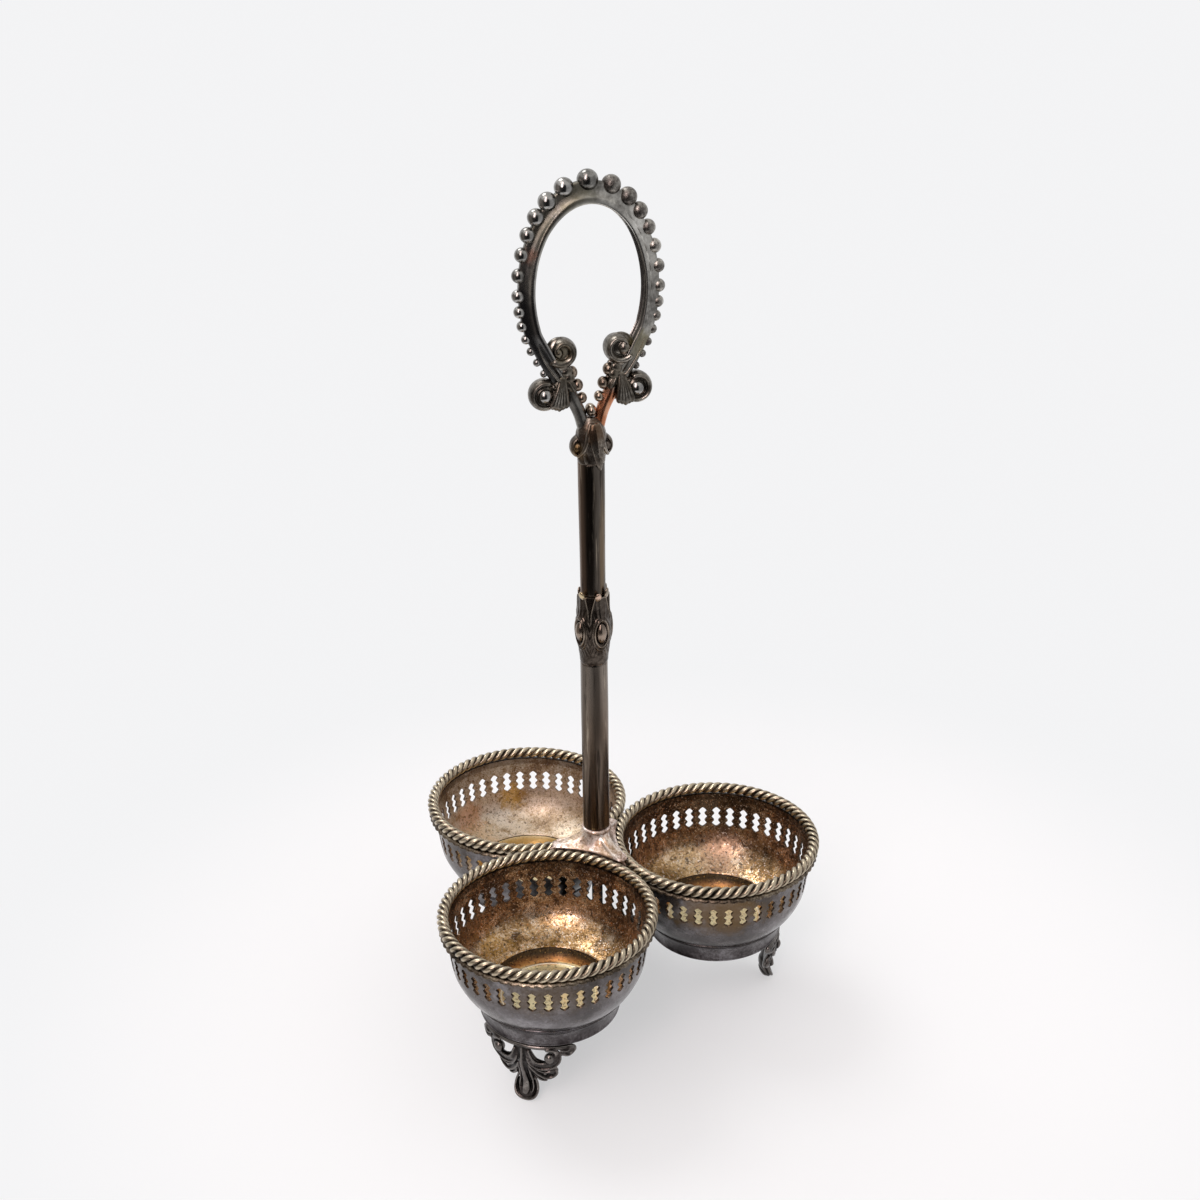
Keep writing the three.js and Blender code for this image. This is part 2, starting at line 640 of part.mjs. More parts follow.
// The middle of the bounding box is moved to the origin.
const box = new THREE.Box3().setFromObject(stand, true);
stand.position.x -= (box.min.x + box.max.x) / 2;
stand.position.y -= (box.min.y + box.max.y) / 2;

export default stand;
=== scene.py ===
"""Looks of a three-bowl condiment stand in old silver plate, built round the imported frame.

The making code works in millimetres, with the stem's axis at x = y = 0 and the floor at z = 0.
new_object() turns its points into metres in the row frame.
"""
import math

import bpy
import numpy as np
from mathutils import Matrix, Vector


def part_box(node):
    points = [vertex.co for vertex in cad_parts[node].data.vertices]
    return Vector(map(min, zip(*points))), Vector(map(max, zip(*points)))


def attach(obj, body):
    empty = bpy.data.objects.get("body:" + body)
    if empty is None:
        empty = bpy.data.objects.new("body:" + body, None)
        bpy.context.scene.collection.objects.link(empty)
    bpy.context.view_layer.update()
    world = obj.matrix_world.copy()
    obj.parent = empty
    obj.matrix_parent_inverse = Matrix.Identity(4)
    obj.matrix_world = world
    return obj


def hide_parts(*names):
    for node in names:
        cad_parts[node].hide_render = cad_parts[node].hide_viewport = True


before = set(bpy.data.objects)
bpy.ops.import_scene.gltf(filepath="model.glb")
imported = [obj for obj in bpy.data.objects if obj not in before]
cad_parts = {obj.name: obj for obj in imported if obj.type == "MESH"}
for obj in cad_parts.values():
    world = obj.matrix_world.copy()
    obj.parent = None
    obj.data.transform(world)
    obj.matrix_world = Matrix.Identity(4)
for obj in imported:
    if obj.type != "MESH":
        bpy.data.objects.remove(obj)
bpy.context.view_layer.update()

# Sizes in mm and angles in degrees
MM = 0.001
BOWL_DISTANCE = 44.2
BOWLS = {"front": -90.0, "right": 30.0, "left": 150.0}
NEAR_SIDE = -67.5  # of the stem, seen from the camera
HANDLE_ANGLE = 38.5
ROPE_RADIUS = 36.0
ROPE_HEIGHT = 63.4
ROPE_CROWNS = 70
STRANDS = 3
STRAND_RADIUS = 0.97
STRAND_FROM_CORE = 1.13
SCALLOP = 0.34
SLOTS = 40
SLOT_PHASE = 1.5
SLOT_BAND = (46.6, 56.4)
SHEET = 0.85
BOWL_FOOT = 34.0
BOWL_RIM = 61.0
BOWL_OUTER = [(27.2, BOWL_FOOT), (30.2, 37.8), (32.7, 42.6), (33.8, 46.6), (35.1, 56.4), (35.6, BOWL_RIM)]
CUP_BOTTOM = 26.4
FOOT_TOP = 25.45
FOOT_BEND = 24.4
HUB_BOTTOM = 65.85
HUB_EDGE = 0.65
HUB_RISE = 4.9
HUB_NECK = 4.75
HUB_SKIRT = (4.9, 60.0)
HUB_TIP = 13.6
HUB_TIP_ROUND = 2.8
HUB_HOLLOW = 36.8
RIB_HEIGHT = 63.6
BORE = 2.4
BEAD = (71.7, 73.2)
LOWER_TUBE = (73.3, 140.4)
LOWER_TUBE_RADII = (4.85, 4.85)
KNOP = (139.6, 165.6)
KNOP_RADIUS = 6.1
STONE_HEIGHT = 152.4
STONES = (28, -54, 118, 208)
UPPER_TUBE = (165.7, 213.1)
UPPER_TUBE_RADII = (4.35, 4.6)
TUBE_WALL = 0.8
COLLAR = (212.7, 228.6)
RING_MIDDLE = 270.3
RING_INNER = (18.0, 27.2)
RING_OUTER = (23.0, 34.3)
INNER_VOLUTE = (9.6, 251.4)
OUTER_VOLUTE = (15.4, 237.2)
VOLUTE_RADIUS = 6.2
VOLUTE_HALF_WIDTH = 3.7

low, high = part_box("tie_rod")
STEM = np.array([(low.x + high.x) / 2, (low.y + high.y) / 2, 0.0])


# Curves and meshes
def unit(v):
    v = np.asarray(v, float)
    return v / np.maximum(np.linalg.norm(v, axis=-1, keepdims=True), 1e-12)


def smoothstep(a, b, x):
    t = np.clip((np.asarray(x, float) - a) / (b - a), 0, 1)
    return t * t * (3 - 2 * t)


def bell(x, middle, width):
    return np.exp(-((x - middle) / width) ** 2)


def around(count):
    return np.linspace(0, 2 * np.pi, count, endpoint=False)


def polar(radius, angle, height):
    """Points by radius, angle in radians and height."""
    radius, angle, height = np.broadcast_arrays(radius, angle, height)
    return np.stack([radius * np.cos(angle), radius * np.sin(angle), height], axis=-1)


def spread(values, count, at=None):
    """Values interpolated at count even steps. at holds their places from 0 to 1, or they are even too."""
    values = np.atleast_1d(values)
    return np.interp(np.linspace(0, 1, count), np.linspace(0, 1, len(values)) if at is None else at, values)


def mirrored(points, x=1, y=1):
    return np.asarray(points, float) * (x, y, 1)


def spline(points, count):
    """Catmull-Rom curve through points, sampled evenly by length."""
    p = np.asarray(points, float)
    p = np.vstack([2 * p[0] - p[1], p, 2 * p[-1] - p[-2]])
    fine = []
    for i in range(1, len(p) - 2):
        t = np.linspace(0, 1, 24, endpoint=False)[:, None]
        a, b, c, d = p[i - 1:i + 3]
        fine.append(0.5 * (2 * b + (c - a) * t + (2 * a - 5 * b + 4 * c - d) * t ** 2
                           + (3 * b - a - 3 * c + d) * t ** 3))
    fine = np.vstack([*fine, p[-2]])
    length = np.r_[0, np.cumsum(np.linalg.norm(np.diff(fine, axis=0), axis=1))]
    at = np.linspace(0, length[-1], count)
    return np.stack([np.interp(at, length, column) for column in fine.T], axis=1)


def tilt(y=0.0, z=0.0):
    """Rotation matrix from degrees about y and then z."""
    b, c = math.radians(y), math.radians(z)
    about_y = np.array([[math.cos(b), 0, math.sin(b)], [0, 1, 0], [-math.sin(b), 0, math.cos(b)]])
    about_z = np.array([[math.cos(c), -math.sin(c), 0], [math.sin(c), math.cos(c), 0], [0, 0, 1]])
    return about_z @ about_y


def rotated(degrees, x=0.0, y=0.0):
    """A function that turns points about z and then moves them."""
    return lambda points: points @ tilt(z=degrees).T + (x, y, 0)


def at_bowl(place):
    """A function that puts what is made round z, with its outer side at -y, on a bowl's axis."""
    x, y, _ = polar(BOWL_DISTANCE, math.radians(BOWLS[place]), 0)
    return rotated(BOWLS[place] + 90, x, y)


def in_ring(x, y, z):
    """A point given in the handle's plane, turned into the stem's frame."""
    return tilt(z=HANDLE_ANGLE) @ (x, y, z)


def on_stem(toward, radius, height):
    """A point beside the stem, toward degrees to the right of its near side."""
    return polar(radius, math.radians(toward + NEAR_SIDE), height)


class Shape:
    """Points and faces gathered from several parts, with a relief value for each point."""

    def __init__(self):
        self.points, self.faces, self.relief, self.count = [], [], [], 0

    def add(self, points, faces, relief=0.5):
        points = np.reshape(points, (-1, 3))
        self.points.append(points)
        self.faces += [tuple(i + self.count for i in face) for face in faces]
        self.relief.append(np.full(len(points), relief, float))
        self.count += len(points)
        return self

    def join(self, other, move=np.asarray):
        """Adds another shape, with its array of points put through move."""
        return self.add(move(np.vstack(other.points)), other.faces, np.concatenate(other.relief))

    def moved(self, move):
        return Shape().join(self, move)

    def grid(self, rows, close_across=True, close_along=False, caps=False, relief=0.5, flip=False, hole=None):
        """Quads between rows of points, an array of shape (rows, points, 3).

        hole(row, column) says which quads are left out.
        """
        n, m = rows.shape[:2]
        faces = []
        for i in range(n if close_along else n - 1):
            j = (i + 1) % n
            for k in range(m if close_across else m - 1):
                if hole and hole(i, k):
                    continue
                q = (k + 1) % m
                faces.append((i * m + k, i * m + q, j * m + q, j * m + k)[::-1 if flip else 1])
        if caps:
            faces.append(tuple(range(m))[::-1])
            faces.append(tuple((n - 1) * m + k for k in range(m)))
        return self.add(rows, faces, np.broadcast_to(relief, (n, m)).reshape(-1))

    def tube(self, path, radius, sides=12, flat=1.0, up=(0, 1, 0), relief=0.5):
        """A bar with rounded ends along a path. radius is one value or one for each point, as is flat, which
        stretches the bar along up."""
        n = len(path)
        along = unit(np.gradient(path, axis=0))
        side = unit(np.cross(along, np.broadcast_to(up, (n, 3))))
        top = unit(np.cross(side, along))
        radius = np.full(n, radius, float)
        rounded = min(4, n // 3)
        for i in range(rounded):
            radius[[i, -1 - i]] *= math.sqrt(1 - (1 - (i + 0.25) / rounded) ** 2)
        turn = around(sides)[:, None]
        rows = path[:, None] + side[:, None] * radius[:, None, None] * np.cos(turn)
        rows += top[:, None] * (radius * flat)[:, None, None] * np.sin(turn)
        return self.grid(rows, caps=True, relief=relief)

    def bar(self, points, steps, radius, at=None, **look):
        """A tube on a curve through points, with its radius spread along it."""
        return self.tube(spline(points, steps), spread(radius, steps, at), **look)

    def ball(self, centre, size, segments=28, rings=16, turn=np.eye(3)):
        """An ellipsoid with half sizes, turned by a 3x3 matrix."""
        down = np.linspace(0, np.pi, rings + 1)[1:-1, None]
        rows = polar(np.sin(down), around(segments), np.cos(down))
        points = np.vstack([rows.reshape(-1, 3), [[0, 0, 1], [0, 0, -1]]]) * size @ turn.T
        n, m = rows.shape[:2]
        faces = [(i * m + k, (i + 1) * m + k, (i + 1) * m + (k + 1) % m, i * m + (k + 1) % m)
                 for i in range(n - 1) for k in range(m)]
        faces += [(n * m, k, (k + 1) % m) for k in range(m)]
        faces += [(n * m + 1, (n - 1) * m + (k + 1) % m, (n - 1) * m + k) for k in range(m)]
        return self.add(points + centre, faces, 0.8)

    def turned(self, profile, segments=128, relief=0.5):
        """A turned shape about the z axis from (radius, height) pairs."""
        profile = np.asarray(profile, float)
        rows = polar(profile[:, :1], around(segments), profile[:, 1:])
        return self.grid(rows, relief=np.reshape(relief, (-1, 1)))


def new_object(name, shape):
    mesh = bpy.data.meshes.new(name)
    mesh.from_pydata((np.vstack(shape.points) * MM + STEM).tolist(), [], shape.faces)
    mesh.validate()
    relief = mesh.attributes.new("relief", "FLOAT", "POINT")
    relief.data.foreach_set("value", np.concatenate(shape.relief).astype(np.float32))
    obj = bpy.data.objects.new(name, mesh)
    bpy.context.scene.collection.objects.link(obj)
    return obj


def fused(obj, voxel):
    """The object's overlapping parts as one softened skin, from voxels of a size in mm."""
    fuse = obj.modifiers.new("fuse", "REMESH")
    fuse.mode, fuse.voxel_size, fuse.adaptivity = "VOXEL", voxel * MM, 0
    soften = obj.modifiers.new("soften", "SMOOTH")
    soften.factor, soften.iterations = 0.5, 5
    graph = bpy.context.evaluated_depsgraph_get()
    mesh = bpy.data.meshes.new_from_object(obj.evaluated_get(graph))
    obj.modifiers.clear()
    if "relief" not in mesh.attributes:
        mesh.attributes.new("relief", "FLOAT", "POINT")
    return mesh


def curvature(mesh, reach, rounds):
    """Relief from the mesh itself: near 1 on ridges and near 0 in grooves."""
    n = len(mesh.vertices)
    places, normals = np.zeros((2, n * 3), np.float32)
    mesh.vertices.foreach_get("co", places)
    mesh.vertex_normals.foreach_get("vector", normals)
    places = places.reshape(-1, 3).astype(float)
    edges = np.zeros(len(mesh.edges) * 2, np.int32)
    mesh.edges.foreach_get("vertices", edges)
    a, b = edges.reshape(-1, 2).T
    degree = np.maximum(np.bincount(a, minlength=n) + np.bincount(b, minlength=n), 1)

    def average(value):
        return (np.bincount(a, value[b], n) + np.bincount(b, value[a], n)) / degree

    smooth = places
    for _ in range(reach):
        smooth = np.stack([average(column) for column in smooth.T], axis=1)
    height = np.einsum("ij,ij->i", places - smooth, normals.reshape(-1, 3))
    for _ in range(rounds):
        height = 0.5 * height + 0.5 * average(height)
    usual = np.percentile(np.abs(height), 90) + 1e-9
    return np.clip(0.5 + 0.5 * height / usual, 0, 1)


def make(name, shape, material, slot, node, smooth_angle=50, voxel=0, curved=False):
    """A piece of the object that stands for a CAD node. voxel fuses its parts into one cast skin."""
    obj = new_object(name, shape)
    if voxel:
        obj.data = fused(obj, voxel)
    mesh = obj.data
    mesh.shade_smooth()
    if not voxel:
        mesh.set_sharp_from_angle(angle=math.radians(smooth_angle))
    if voxel or curved:
        relief = curvature(mesh, 12, 9) if voxel else curvature(mesh, 6, 3)
        mesh.attributes["relief"].data.foreach_set("value", relief.astype(np.float32))
    mesh.materials.clear()
    mesh.materials.append(material)
    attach(obj, "root")
    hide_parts(node)
    return obj


def line(obj, material, first):
    """Gives a second material to the faces from number first on."""
    obj.data.materials.append(material)
    lining = np.arange(len(obj.data.polygons)) >= first
    obj.data.polygons.foreach_set("material_index", lining.astype(np.int32))


# Node trees and colours
def rgba(colour):
    """A linear colour from an sRGB hex number or a linear grey. Anything else comes back as it is."""
    if isinstance(colour, float):
        return colour, colour, colour, 1
    if not isinstance(colour, int):
        return colour
    parts = [(colour >> shift & 255) / 255 for shift in (16, 8, 0)]
    return (*[c / 12.92 if c <= 0.04045 else ((c + 0.055) / 1.055) ** 2.4 for c in parts], 1.0)


class Nodes:
    """Short calls for building the node tree of a material or a world."""

    def __init__(self, owner):
        owner.use_nodes = True
        self.tree = owner.node_tree
        self.tree.nodes.clear()

    def add(self, kind, *inputs, out=0, **settings):
        """inputs are (socket, value or output) pairs; the node's output number out comes back."""
        node = self.tree.nodes.new(kind)
        for key, value in settings.items():
            setattr(node, key, value)
        for socket, value in inputs:
            if isinstance(value, bpy.types.NodeSocket):
                self.tree.links.new(value, node.inputs[socket])
            else:
                node.inputs[socket].default_value = value
        return node.outputs[out] if len(node.outputs) else node

    def math(self, operation, a, b=0.0, clamp=False):
        return self.add("ShaderNodeMath", (0, a), (1, b), operation=operation, use_clamp=clamp)

    def product(self, first, *others):
        for other in others:
            first = self.math("MULTIPLY", first, other)
        return first

    def swing(self, noise, size):
        """A noise value about zero, times size."""
        return self.product(self.math("SUBTRACT", noise, 0.5), size)

    def vector(self, operation, a, b, out=0):
        return self.add("ShaderNodeVectorMath", (0, a), (1, b), operation=operation, out=out)

    def noise(self, where, scale, detail=4.0, rough=0.6, distortion=0.0):
        return self.add("ShaderNodeTexNoise", ("Vector", where), ("Scale", scale), ("Detail", detail),
                        ("Roughness", rough), ("Distortion", distortion))

    def mix(self, share, a, b):
        return self.add("ShaderNodeMix", (0, share), (6, rgba(a)), (7, rgba(b)), out=2, data_type="RGBA")

    def ramp(self, value, *stops):
        ramp = self.add("ShaderNodeValToRGB", (0, value))
        points = ramp.node.color_ramp.elements
        while len(points) < len(stops):
            points.new(0.5)
        for point, (position, colour) in zip(points, stops):
            point.position, point.color = position, rgba(colour)
        return ramp

    def span(self, value, low, high, to_low=0.0, to_high=1.0):
        return self.add("ShaderNodeMapRange", (0, value), (1, low), (2, high), (3, to_low), (4, to_high),
                        interpolation_type="SMOOTHSTEP")

    def ray_kinds(self):
        """Whether a ray comes from the camera, and whether it is a reflection or passes through glass."""
        path = self.add("ShaderNodeLightPath").node.outputs
        return path["Is Camera Ray"], self.math("MAXIMUM", path["Is Glossy Ray"], path["Is Transmission Ray"])


# Materials
# Blender's noise keeps near its middle, and this gain brings it over the whole range
NOISE_GAIN = 2.2


def plate(name, tones, scales, weights, rough, groove, crown, bump, level=0.0, edge=(0.6, 0.98), metal=1.0,
          stretch=(1, 1, 1), heights=(), specks=(), spots=()):
    """Old silver plate: patches of tarnish, fine mottling, dark grooves and rubbed ridges.

    tones run from dark to bright. scales and weights are of the patches, the mottling and the grain, and
    level moves the whole towards bright. groove and crown say how dark a groove and how bright a ridge gets,
    and edge gives the relief at which a ridge starts and ends. heights is (strength, raggedness in mm,
    (height in mm, colour), ...), a tint that changes with height. Each speck is (scale, threshold, colour,
    strength). Each spot is (point in mm, radius in mm, colour, strength), a patch with a ragged edge: some
    are stains, and some are painted shade, painted highlights and painted reflections. A fifth value below 1
    draws it out upright, and above 1 flattens it.
    """
    material = bpy.data.materials.new(name)
    n = Nodes(material)
    dark, brown, middle, bright = tones
    coords = n.add("ShaderNodeTexCoord", out=3)
    where = n.add("ShaderNodeMapping", ("Vector", coords), ("Scale", stretch))
    large = n.noise(where, scales[0], 3.0, 0.55, 0.4)
    medium = n.noise(where, scales[1], 5.0, 0.62, 0.2)
    fine = n.noise(where, scales[2], 3.0, 0.6)
    wear = 0.5 + level
    for noise, weight in zip((large, medium, fine), weights):
        wear = n.math("ADD", n.swing(noise, NOISE_GAIN * weight), wear, clamp=noise is fine)
    colour = n.ramp(wear, (0.0, dark), (0.36, brown), (0.66, middle), (1.0, bright))
    if heights:
        strength, ragged, *stops = heights
        first, last = stops[0][0], stops[-1][0]
        z = n.product(n.add("ShaderNodeSeparateXYZ", (0, coords), out=2), 1 / MM)
        up = n.math("SUBTRACT", n.math("ADD", z, n.swing(large, ragged)), first)
        share = n.math("DIVIDE", up, last - first, clamp=True)
        tint = n.ramp(share, *[((height - first) / (last - first), shade) for height, shade in stops])
        colour = n.mix(strength, colour, tint)
    for point, radius, mark_colour, strength, *squash in spots:
        scale = (1, 1, *(squash or [1]))
        centre = (np.asarray(point) * MM + STEM) * scale
        far = n.vector("DISTANCE", n.vector("MULTIPLY", coords, scale), tuple(centre), out=1)
        far = n.math("ADD", n.product(far, 1 / MM / radius), n.swing(medium, 1.6))
        colour = n.mix(n.span(far, 1.15, 0.35, 0.0, strength), colour, mark_colour)
    for scale, threshold, mark_colour, strength in specks:
        speck = n.noise(where, scale, 4.0, 0.68, 0.3)
        colour = n.mix(n.span(speck, threshold, threshold + 0.1, 0.0, strength), colour, mark_colour)
    relief = n.add("ShaderNodeAttribute", attribute_name="relief", out=2)
    ridge = n.span(relief, *edge, 0.0, crown)
    colour = n.mix(n.span(relief, 0.45, 0.1, 0.0, groove), colour, dark)
    colour = n.mix(ridge, colour, bright)
    roughness = n.math("SUBTRACT", n.span(wear, 0.1, 0.9, rough[1], rough[0]), n.product(ridge, 0.08))
    pits = n.math("ADD", n.product(fine, 0.6), medium)
    normal = n.add("ShaderNodeBump", ("Strength", bump), ("Distance", 0.0002), ("Height", pits))
    shader = n.add("ShaderNodeBsdfPrincipled", ("Base Color", colour), ("Metallic", metal),
                   ("Roughness", roughness), ("Normal", normal))
    n.add("ShaderNodeOutputMaterial", ("Surface", shader))
    return material


ROPE = plate(
    "rope_silver", (0x1f1b17, 0x695d50, 0x968a79, 0xdccdb2), (30, 220, 1400), (0.8, 0.5, 0.6), (0.26, 0.4),
    0.85, 0.62, 0.12, level=-0.02, edge=(0.84, 1.0), specks=[(1300, 0.57, 0x3f362e, 0.55)])
OUTER = plate(
    "bowl_outside", (0x231f20, 0x4e4949, 0x6c686b, 0x9a979b), (48, 150, 900), (1.15, 0.6, 0.4), (0.18, 0.32),
    0.9, 0.4, 0.06, heights=(0.42, 14, (33, 0x403a37), (38, 0x5a5554), (43, 0x757273), (50, 0x615b54),
                             (57, 0x47423c), (61, 0x322b26)),
    specks=[(420, 0.6, 0x42372d, 0.7), (1500, 0.61, 0xa89a84, 0.5)],
    # The first spot is painted shade: it darkens the sides of the bowls that face the stem, between the
    # bowls.
    spots=[((0, 0, 46), 39, 0x100d0a, 0.95, 0.6), ((50, -10, 54), 19, 0x6e5738, 0.7, 1.8),
           ((13, -77, 53), 16, 0x66543e, 0.4, 1.8)])
INNER = plate(
    "bowl_inside", (0x21160f, 0x7a604b, 0xc4a27c, 0xf6e8d6), (85, 330, 1500), (1.0, 0.8, 0.9), (0.22, 0.42),
    0.85, 0.2, 0.5, level=0.05, metal=0.85,
    heights=(0.45, 16, (33, 0x94702c), (38, 0xcfa465), (44, 0xc49a74), (50, 0x7a604a), (55, 0x4a3b2e),
             (60, 0x241b15)),
    specks=[(230, 0.55, 0x33261c, 0.75), (560, 0.56, 0x2b1d12, 0.75), (1050, 0.53, 0x2a1a0e, 0.75),
            (900, 0.59, 0xc47838, 0.6), (1300, 0.57, 0xfff0e4, 0.8)],
    # The first two spots are a painted highlight, pale pink and tan, low on the right bowl's far wall.
    spots=[((31, 50, 38), 12, 0xf0c8b0, 0.45), ((20, 42, 37), 11, 0xdcc090, 0.25),
           ((47, 49, 39), 10, 0x4a3826, 0.55), ((25.5, 53, 55), 30, 0x2a2014, 0.75, 1.9),
           ((66, 38, 50), 20, 0x32281c, 0.5, 1.4), ((14.5, -17.0, 47), 13, 0x30281c, 0.6),
           ((-24.0, -28.0, 46), 13, 0x3a2a18, 0.35), ((-25, -37, 37), 9, 0xd0a050, 0.4),
           ((13, -18.5, 38), 8, 0x4c3824, 0.5)])
INNER_LEFT = plate(
    "bowl_inside_left", (0x4a3626, 0xa0886c, 0xccbfae, 0xeee6da), (70, 300, 1500), (0.9, 0.7, 0.7),
    (0.4, 0.54), 0.85, 0.2, 0.35, level=0.06, metal=0.7,
    heights=(0.4, 14, (33, 0xb08a4c), (38, 0xceb07e), (45, 0xcfbcb2), (51, 0xa08a76), (57, 0x604e3e),
             (61, 0x302820)),
    specks=[(230, 0.58, 0x86683e, 0.6), (560, 0.56, 0x5c4228, 0.75), (1050, 0.55, 0x563a20, 0.7),
            (1300, 0.58, 0xfff6f0, 0.6)],
    spots=[((-56, 22, 44), 15, 0xc89c50, 0.6), ((-40, 48, 44), 14, 0xe2d8cc, 0.2),
           ((-57.5, 48, 45.5), 6.5, 0xd2a64a, 0.65), ((-54, 50, 45.5), 3.5, 0x8a6430, 0.6),
           ((-68, 31, 43), 8, 0xe0b090, 0.6), ((-60, 28, 37), 9, 0xe6ccac, 0.6)])
CUP = plate(
    "cup_outside", (0x191616, 0x403b3c, 0x5b5758, 0x848184), (40, 140, 900), (0.9, 0.5, 0.4), (0.24, 0.38),
    0.8, 0.3, 0.08, specks=[(600, 0.6, 0x2a2422, 0.6)])
WELL_METAL = ((0x4a3018, 0xc0a468, 0xe6d6a6, 0xfff8e0), (60, 300, 1600), (0.3, 0.3, 0.5), (0.34, 0.5),
              0.4, 0.95, 0.3, 0.2, (0.6, 0.98), 0.6)
# The well darkens towards its top: painted shadow under the edge of the bowl's mouth.
WELL_PAINTED_SHADOW = plate(
    "cup_inside_painted_shadow", *WELL_METAL,
    heights=(0.95, 1.8, (28.9, 0xe6dcb4), (29.3, 0xdcca98), (29.55, 0xb07838), (30.6, 0x96622c),
             (31.5, 0x62401e), (32.3, 0x2e2010), (33.6, 0x3c2c16)),
    specks=[(1050, 0.52, 0x241408, 0.75), (1300, 0.58, 0xf0c070, 0.7)])
# The left cup's well is a lit copy of the same metal: lighter towards its top, painted light where the other
# wells have painted shadow.
WELL_LEFT_PAINTED_LIGHT = plate(
    "cup_inside_left_painted_light", *WELL_METAL,
    heights=(0.95, 1.8, (28.9, 0xe6dcb4), (29.55, 0xc89850), (31.0, 0xc49a54), (32.4, 0xd8b878),
             (33.6, 0xf0e0b4)),
    specks=[(1050, 0.56, 0x6a4420, 0.6)])
CASTING = plate(
    "foot_casting", (0x0d0c0b, 0x292524, 0x433e3c, 0x9a948f), (45, 240, 900), (0.5, 0.5, 0.35), (0.2, 0.34),
    0.8, 0.4, 0.1, level=-0.04)
PALE = plate(
    "hub_silver", (0x765e4e, 0xbca294, 0xe0ccc2, 0xfaf2ea), (110, 460, 1300), (1.1, 1.0, 0.8), (0.3, 0.46),
    0.6, 0.5, 0.3, level=0.08, metal=0.78,
    specks=[(420, 0.56, 0x8c7060, 0.7), (900, 0.55, 0x70543e, 0.7), (1300, 0.58, 0xfff2ec, 0.6)],
    spots=[(on_stem(20, 9, 68), 7, 0xb2966c, 0.45), (on_stem(-75, 8, 68), 6, 0xc8b28e, 0.5)])
# Long streaks up a drawn tube
DRAWN = {"stretch": (1, 1, 0.05), "specks": [(620, 0.54, 0x1c1613, 0.7), (480, 0.58, 0xb8aa98, 0.65)]}
TUBE = plate(
    "tube_dark", (0x2a221c, 0x584b40, 0x807165, 0xb2a494), (22, 150, 900), (0.7, 0.4, 0.3), (0.18, 0.3),
    0.3, 0.2, 0.05, heights=(0.5, 30, (74, 0x4a3f35), (112, 0x74675c), (141, 0xa09890)), **DRAWN,
    # The spot is a painted reflection: a dark stripe up the lower tube, near its side toward the camera.
    spots=[(on_stem(12, 4.9, 122), 2.4, 0x1d1713, 0.75, 0.05)])
TUBE_HIGH = plate(
    "tube_grey", (0x221c16, 0x484039, 0x665f58, 0x8a847d), (22, 150, 900), (0.7, 0.4, 0.3), (0.24, 0.36),
    0.3, 0.2, 0.05, **DRAWN,
    # The spots are painted reflections up the upper tube: a dark stripe near its side toward the camera, a
    # brown band on its left and a light streak on its right.
    spots=[(on_stem(-12, 4.6, 190), 2.2, 0x15110f, 0.7, 0.04),
           (on_stem(-75, 4.6, 190), 3.6, 0x7a6250, 0.6, 0.04),
           (on_stem(48, 4.6, 180), 1.8, 0xa08a70, 0.5, 0.06)])
KNOP_METAL = plate(
    "knop_casting", (0x161210, 0x403832, 0x635a52, 0xb8aa99), (45, 300, 1000), (0.6, 0.4, 0.3), (0.2, 0.34),
    0.75, 0.6, 0.05, edge=(0.66, 0.95),
    spots=[(on_stem(toward, 6.9, STONE_HEIGHT), 3.4, 0xb4a292, 0.7) for toward in STONES]
    + [(on_stem(19, 5.6, 166.4), 1.7, 0xf4c4ac, 0.9), (on_stem(-45, 5.6, 166.6), 1.9, 0xf6da98, 0.9)])
COLLAR_METAL = plate(
    "collar_casting", (0x1d1815, 0x504740, 0x786f66, 0xc2b8aa), (45, 300, 1200), (0.7, 0.6, 0.3), (0.26, 0.4),
    0.42, 0.2, 0.05, edge=(0.78, 1.0),
    spots=[(in_ring(0.4, -5.4, 225), 5, 0x6e5640, 0.6), (in_ring(-5, -2, 217.5), 3.4, 0x8a7048, 0.5)])
# Copper that shows through at the fork
COPPER = [(in_ring(x, -2, z), 5.0, 0xc8845f, 0.95) for x, z in ((4.2, 228.4), (5.0, 231.2), (6.2, 234.0))]
HANDLE = plate(
    "ring_gunmetal", (0x1e1c1a, 0x86837e, 0xbcb9b2, 0xeae7e0), (40, 200, 900), (0.8, 0.35, 0.3), (0.24, 0.36),
    0.6, 0.35, 0.05, level=0.03, edge=(0.7, 1.0),
    # The pale greenish spot at the top of the ring is partly tarnish and partly painted light on its top
    # face.
    spots=[(in_ring(-19.7, -2.6, 283), 3.2, 0xb07a60, 0.6), (in_ring(-6, -3, 302), 9, 0xa8a48c, 0.35),
           # The wide dark spot low on the ring's left side is painted shade on that side.
           (in_ring(17.0, -3, 252), 6, 0xb0a680, 0.5), (in_ring(-19, -3, 258), 22, 0x3c3c40, 0.8),
           (in_ring(-16.5, -3, 291), 8, 0x6c6a5c, 0.7), (in_ring(-5.5, -2.6, 232), 8, 0x4c4945, 0.6),
           (in_ring(14, 0, 243), 16, 0x6f6a60, 0.5), *COPPER,
           # This spot is a painted highlight: a light core on the copper of the right arm.
           (in_ring(5.0, -2.2, 231.4), 1.6, 0xf0b896, 0.7, 0.5)])
SCROLL = plate(
    "scroll_casting", (0x1c1a18, 0x555049, 0x7d776f, 0xb8b2a8), (60, 260, 1000), (0.8, 0.6, 0.4), (0.26, 0.4),
    0.42, 0.2, 0.05, edge=(0.75, 1.0),
    spots=[(in_ring(16.5, -3, 251), 5, 0xa49a70, 0.5), (in_ring(9.5, -3, 242), 7, 0x645a4c, 0.5),
           (in_ring(-9.5, -3, 242), 7, 0x5c5448, 0.5), (in_ring(-9.6, -3, 251.4), 4, 0x74694e, 0.4)])
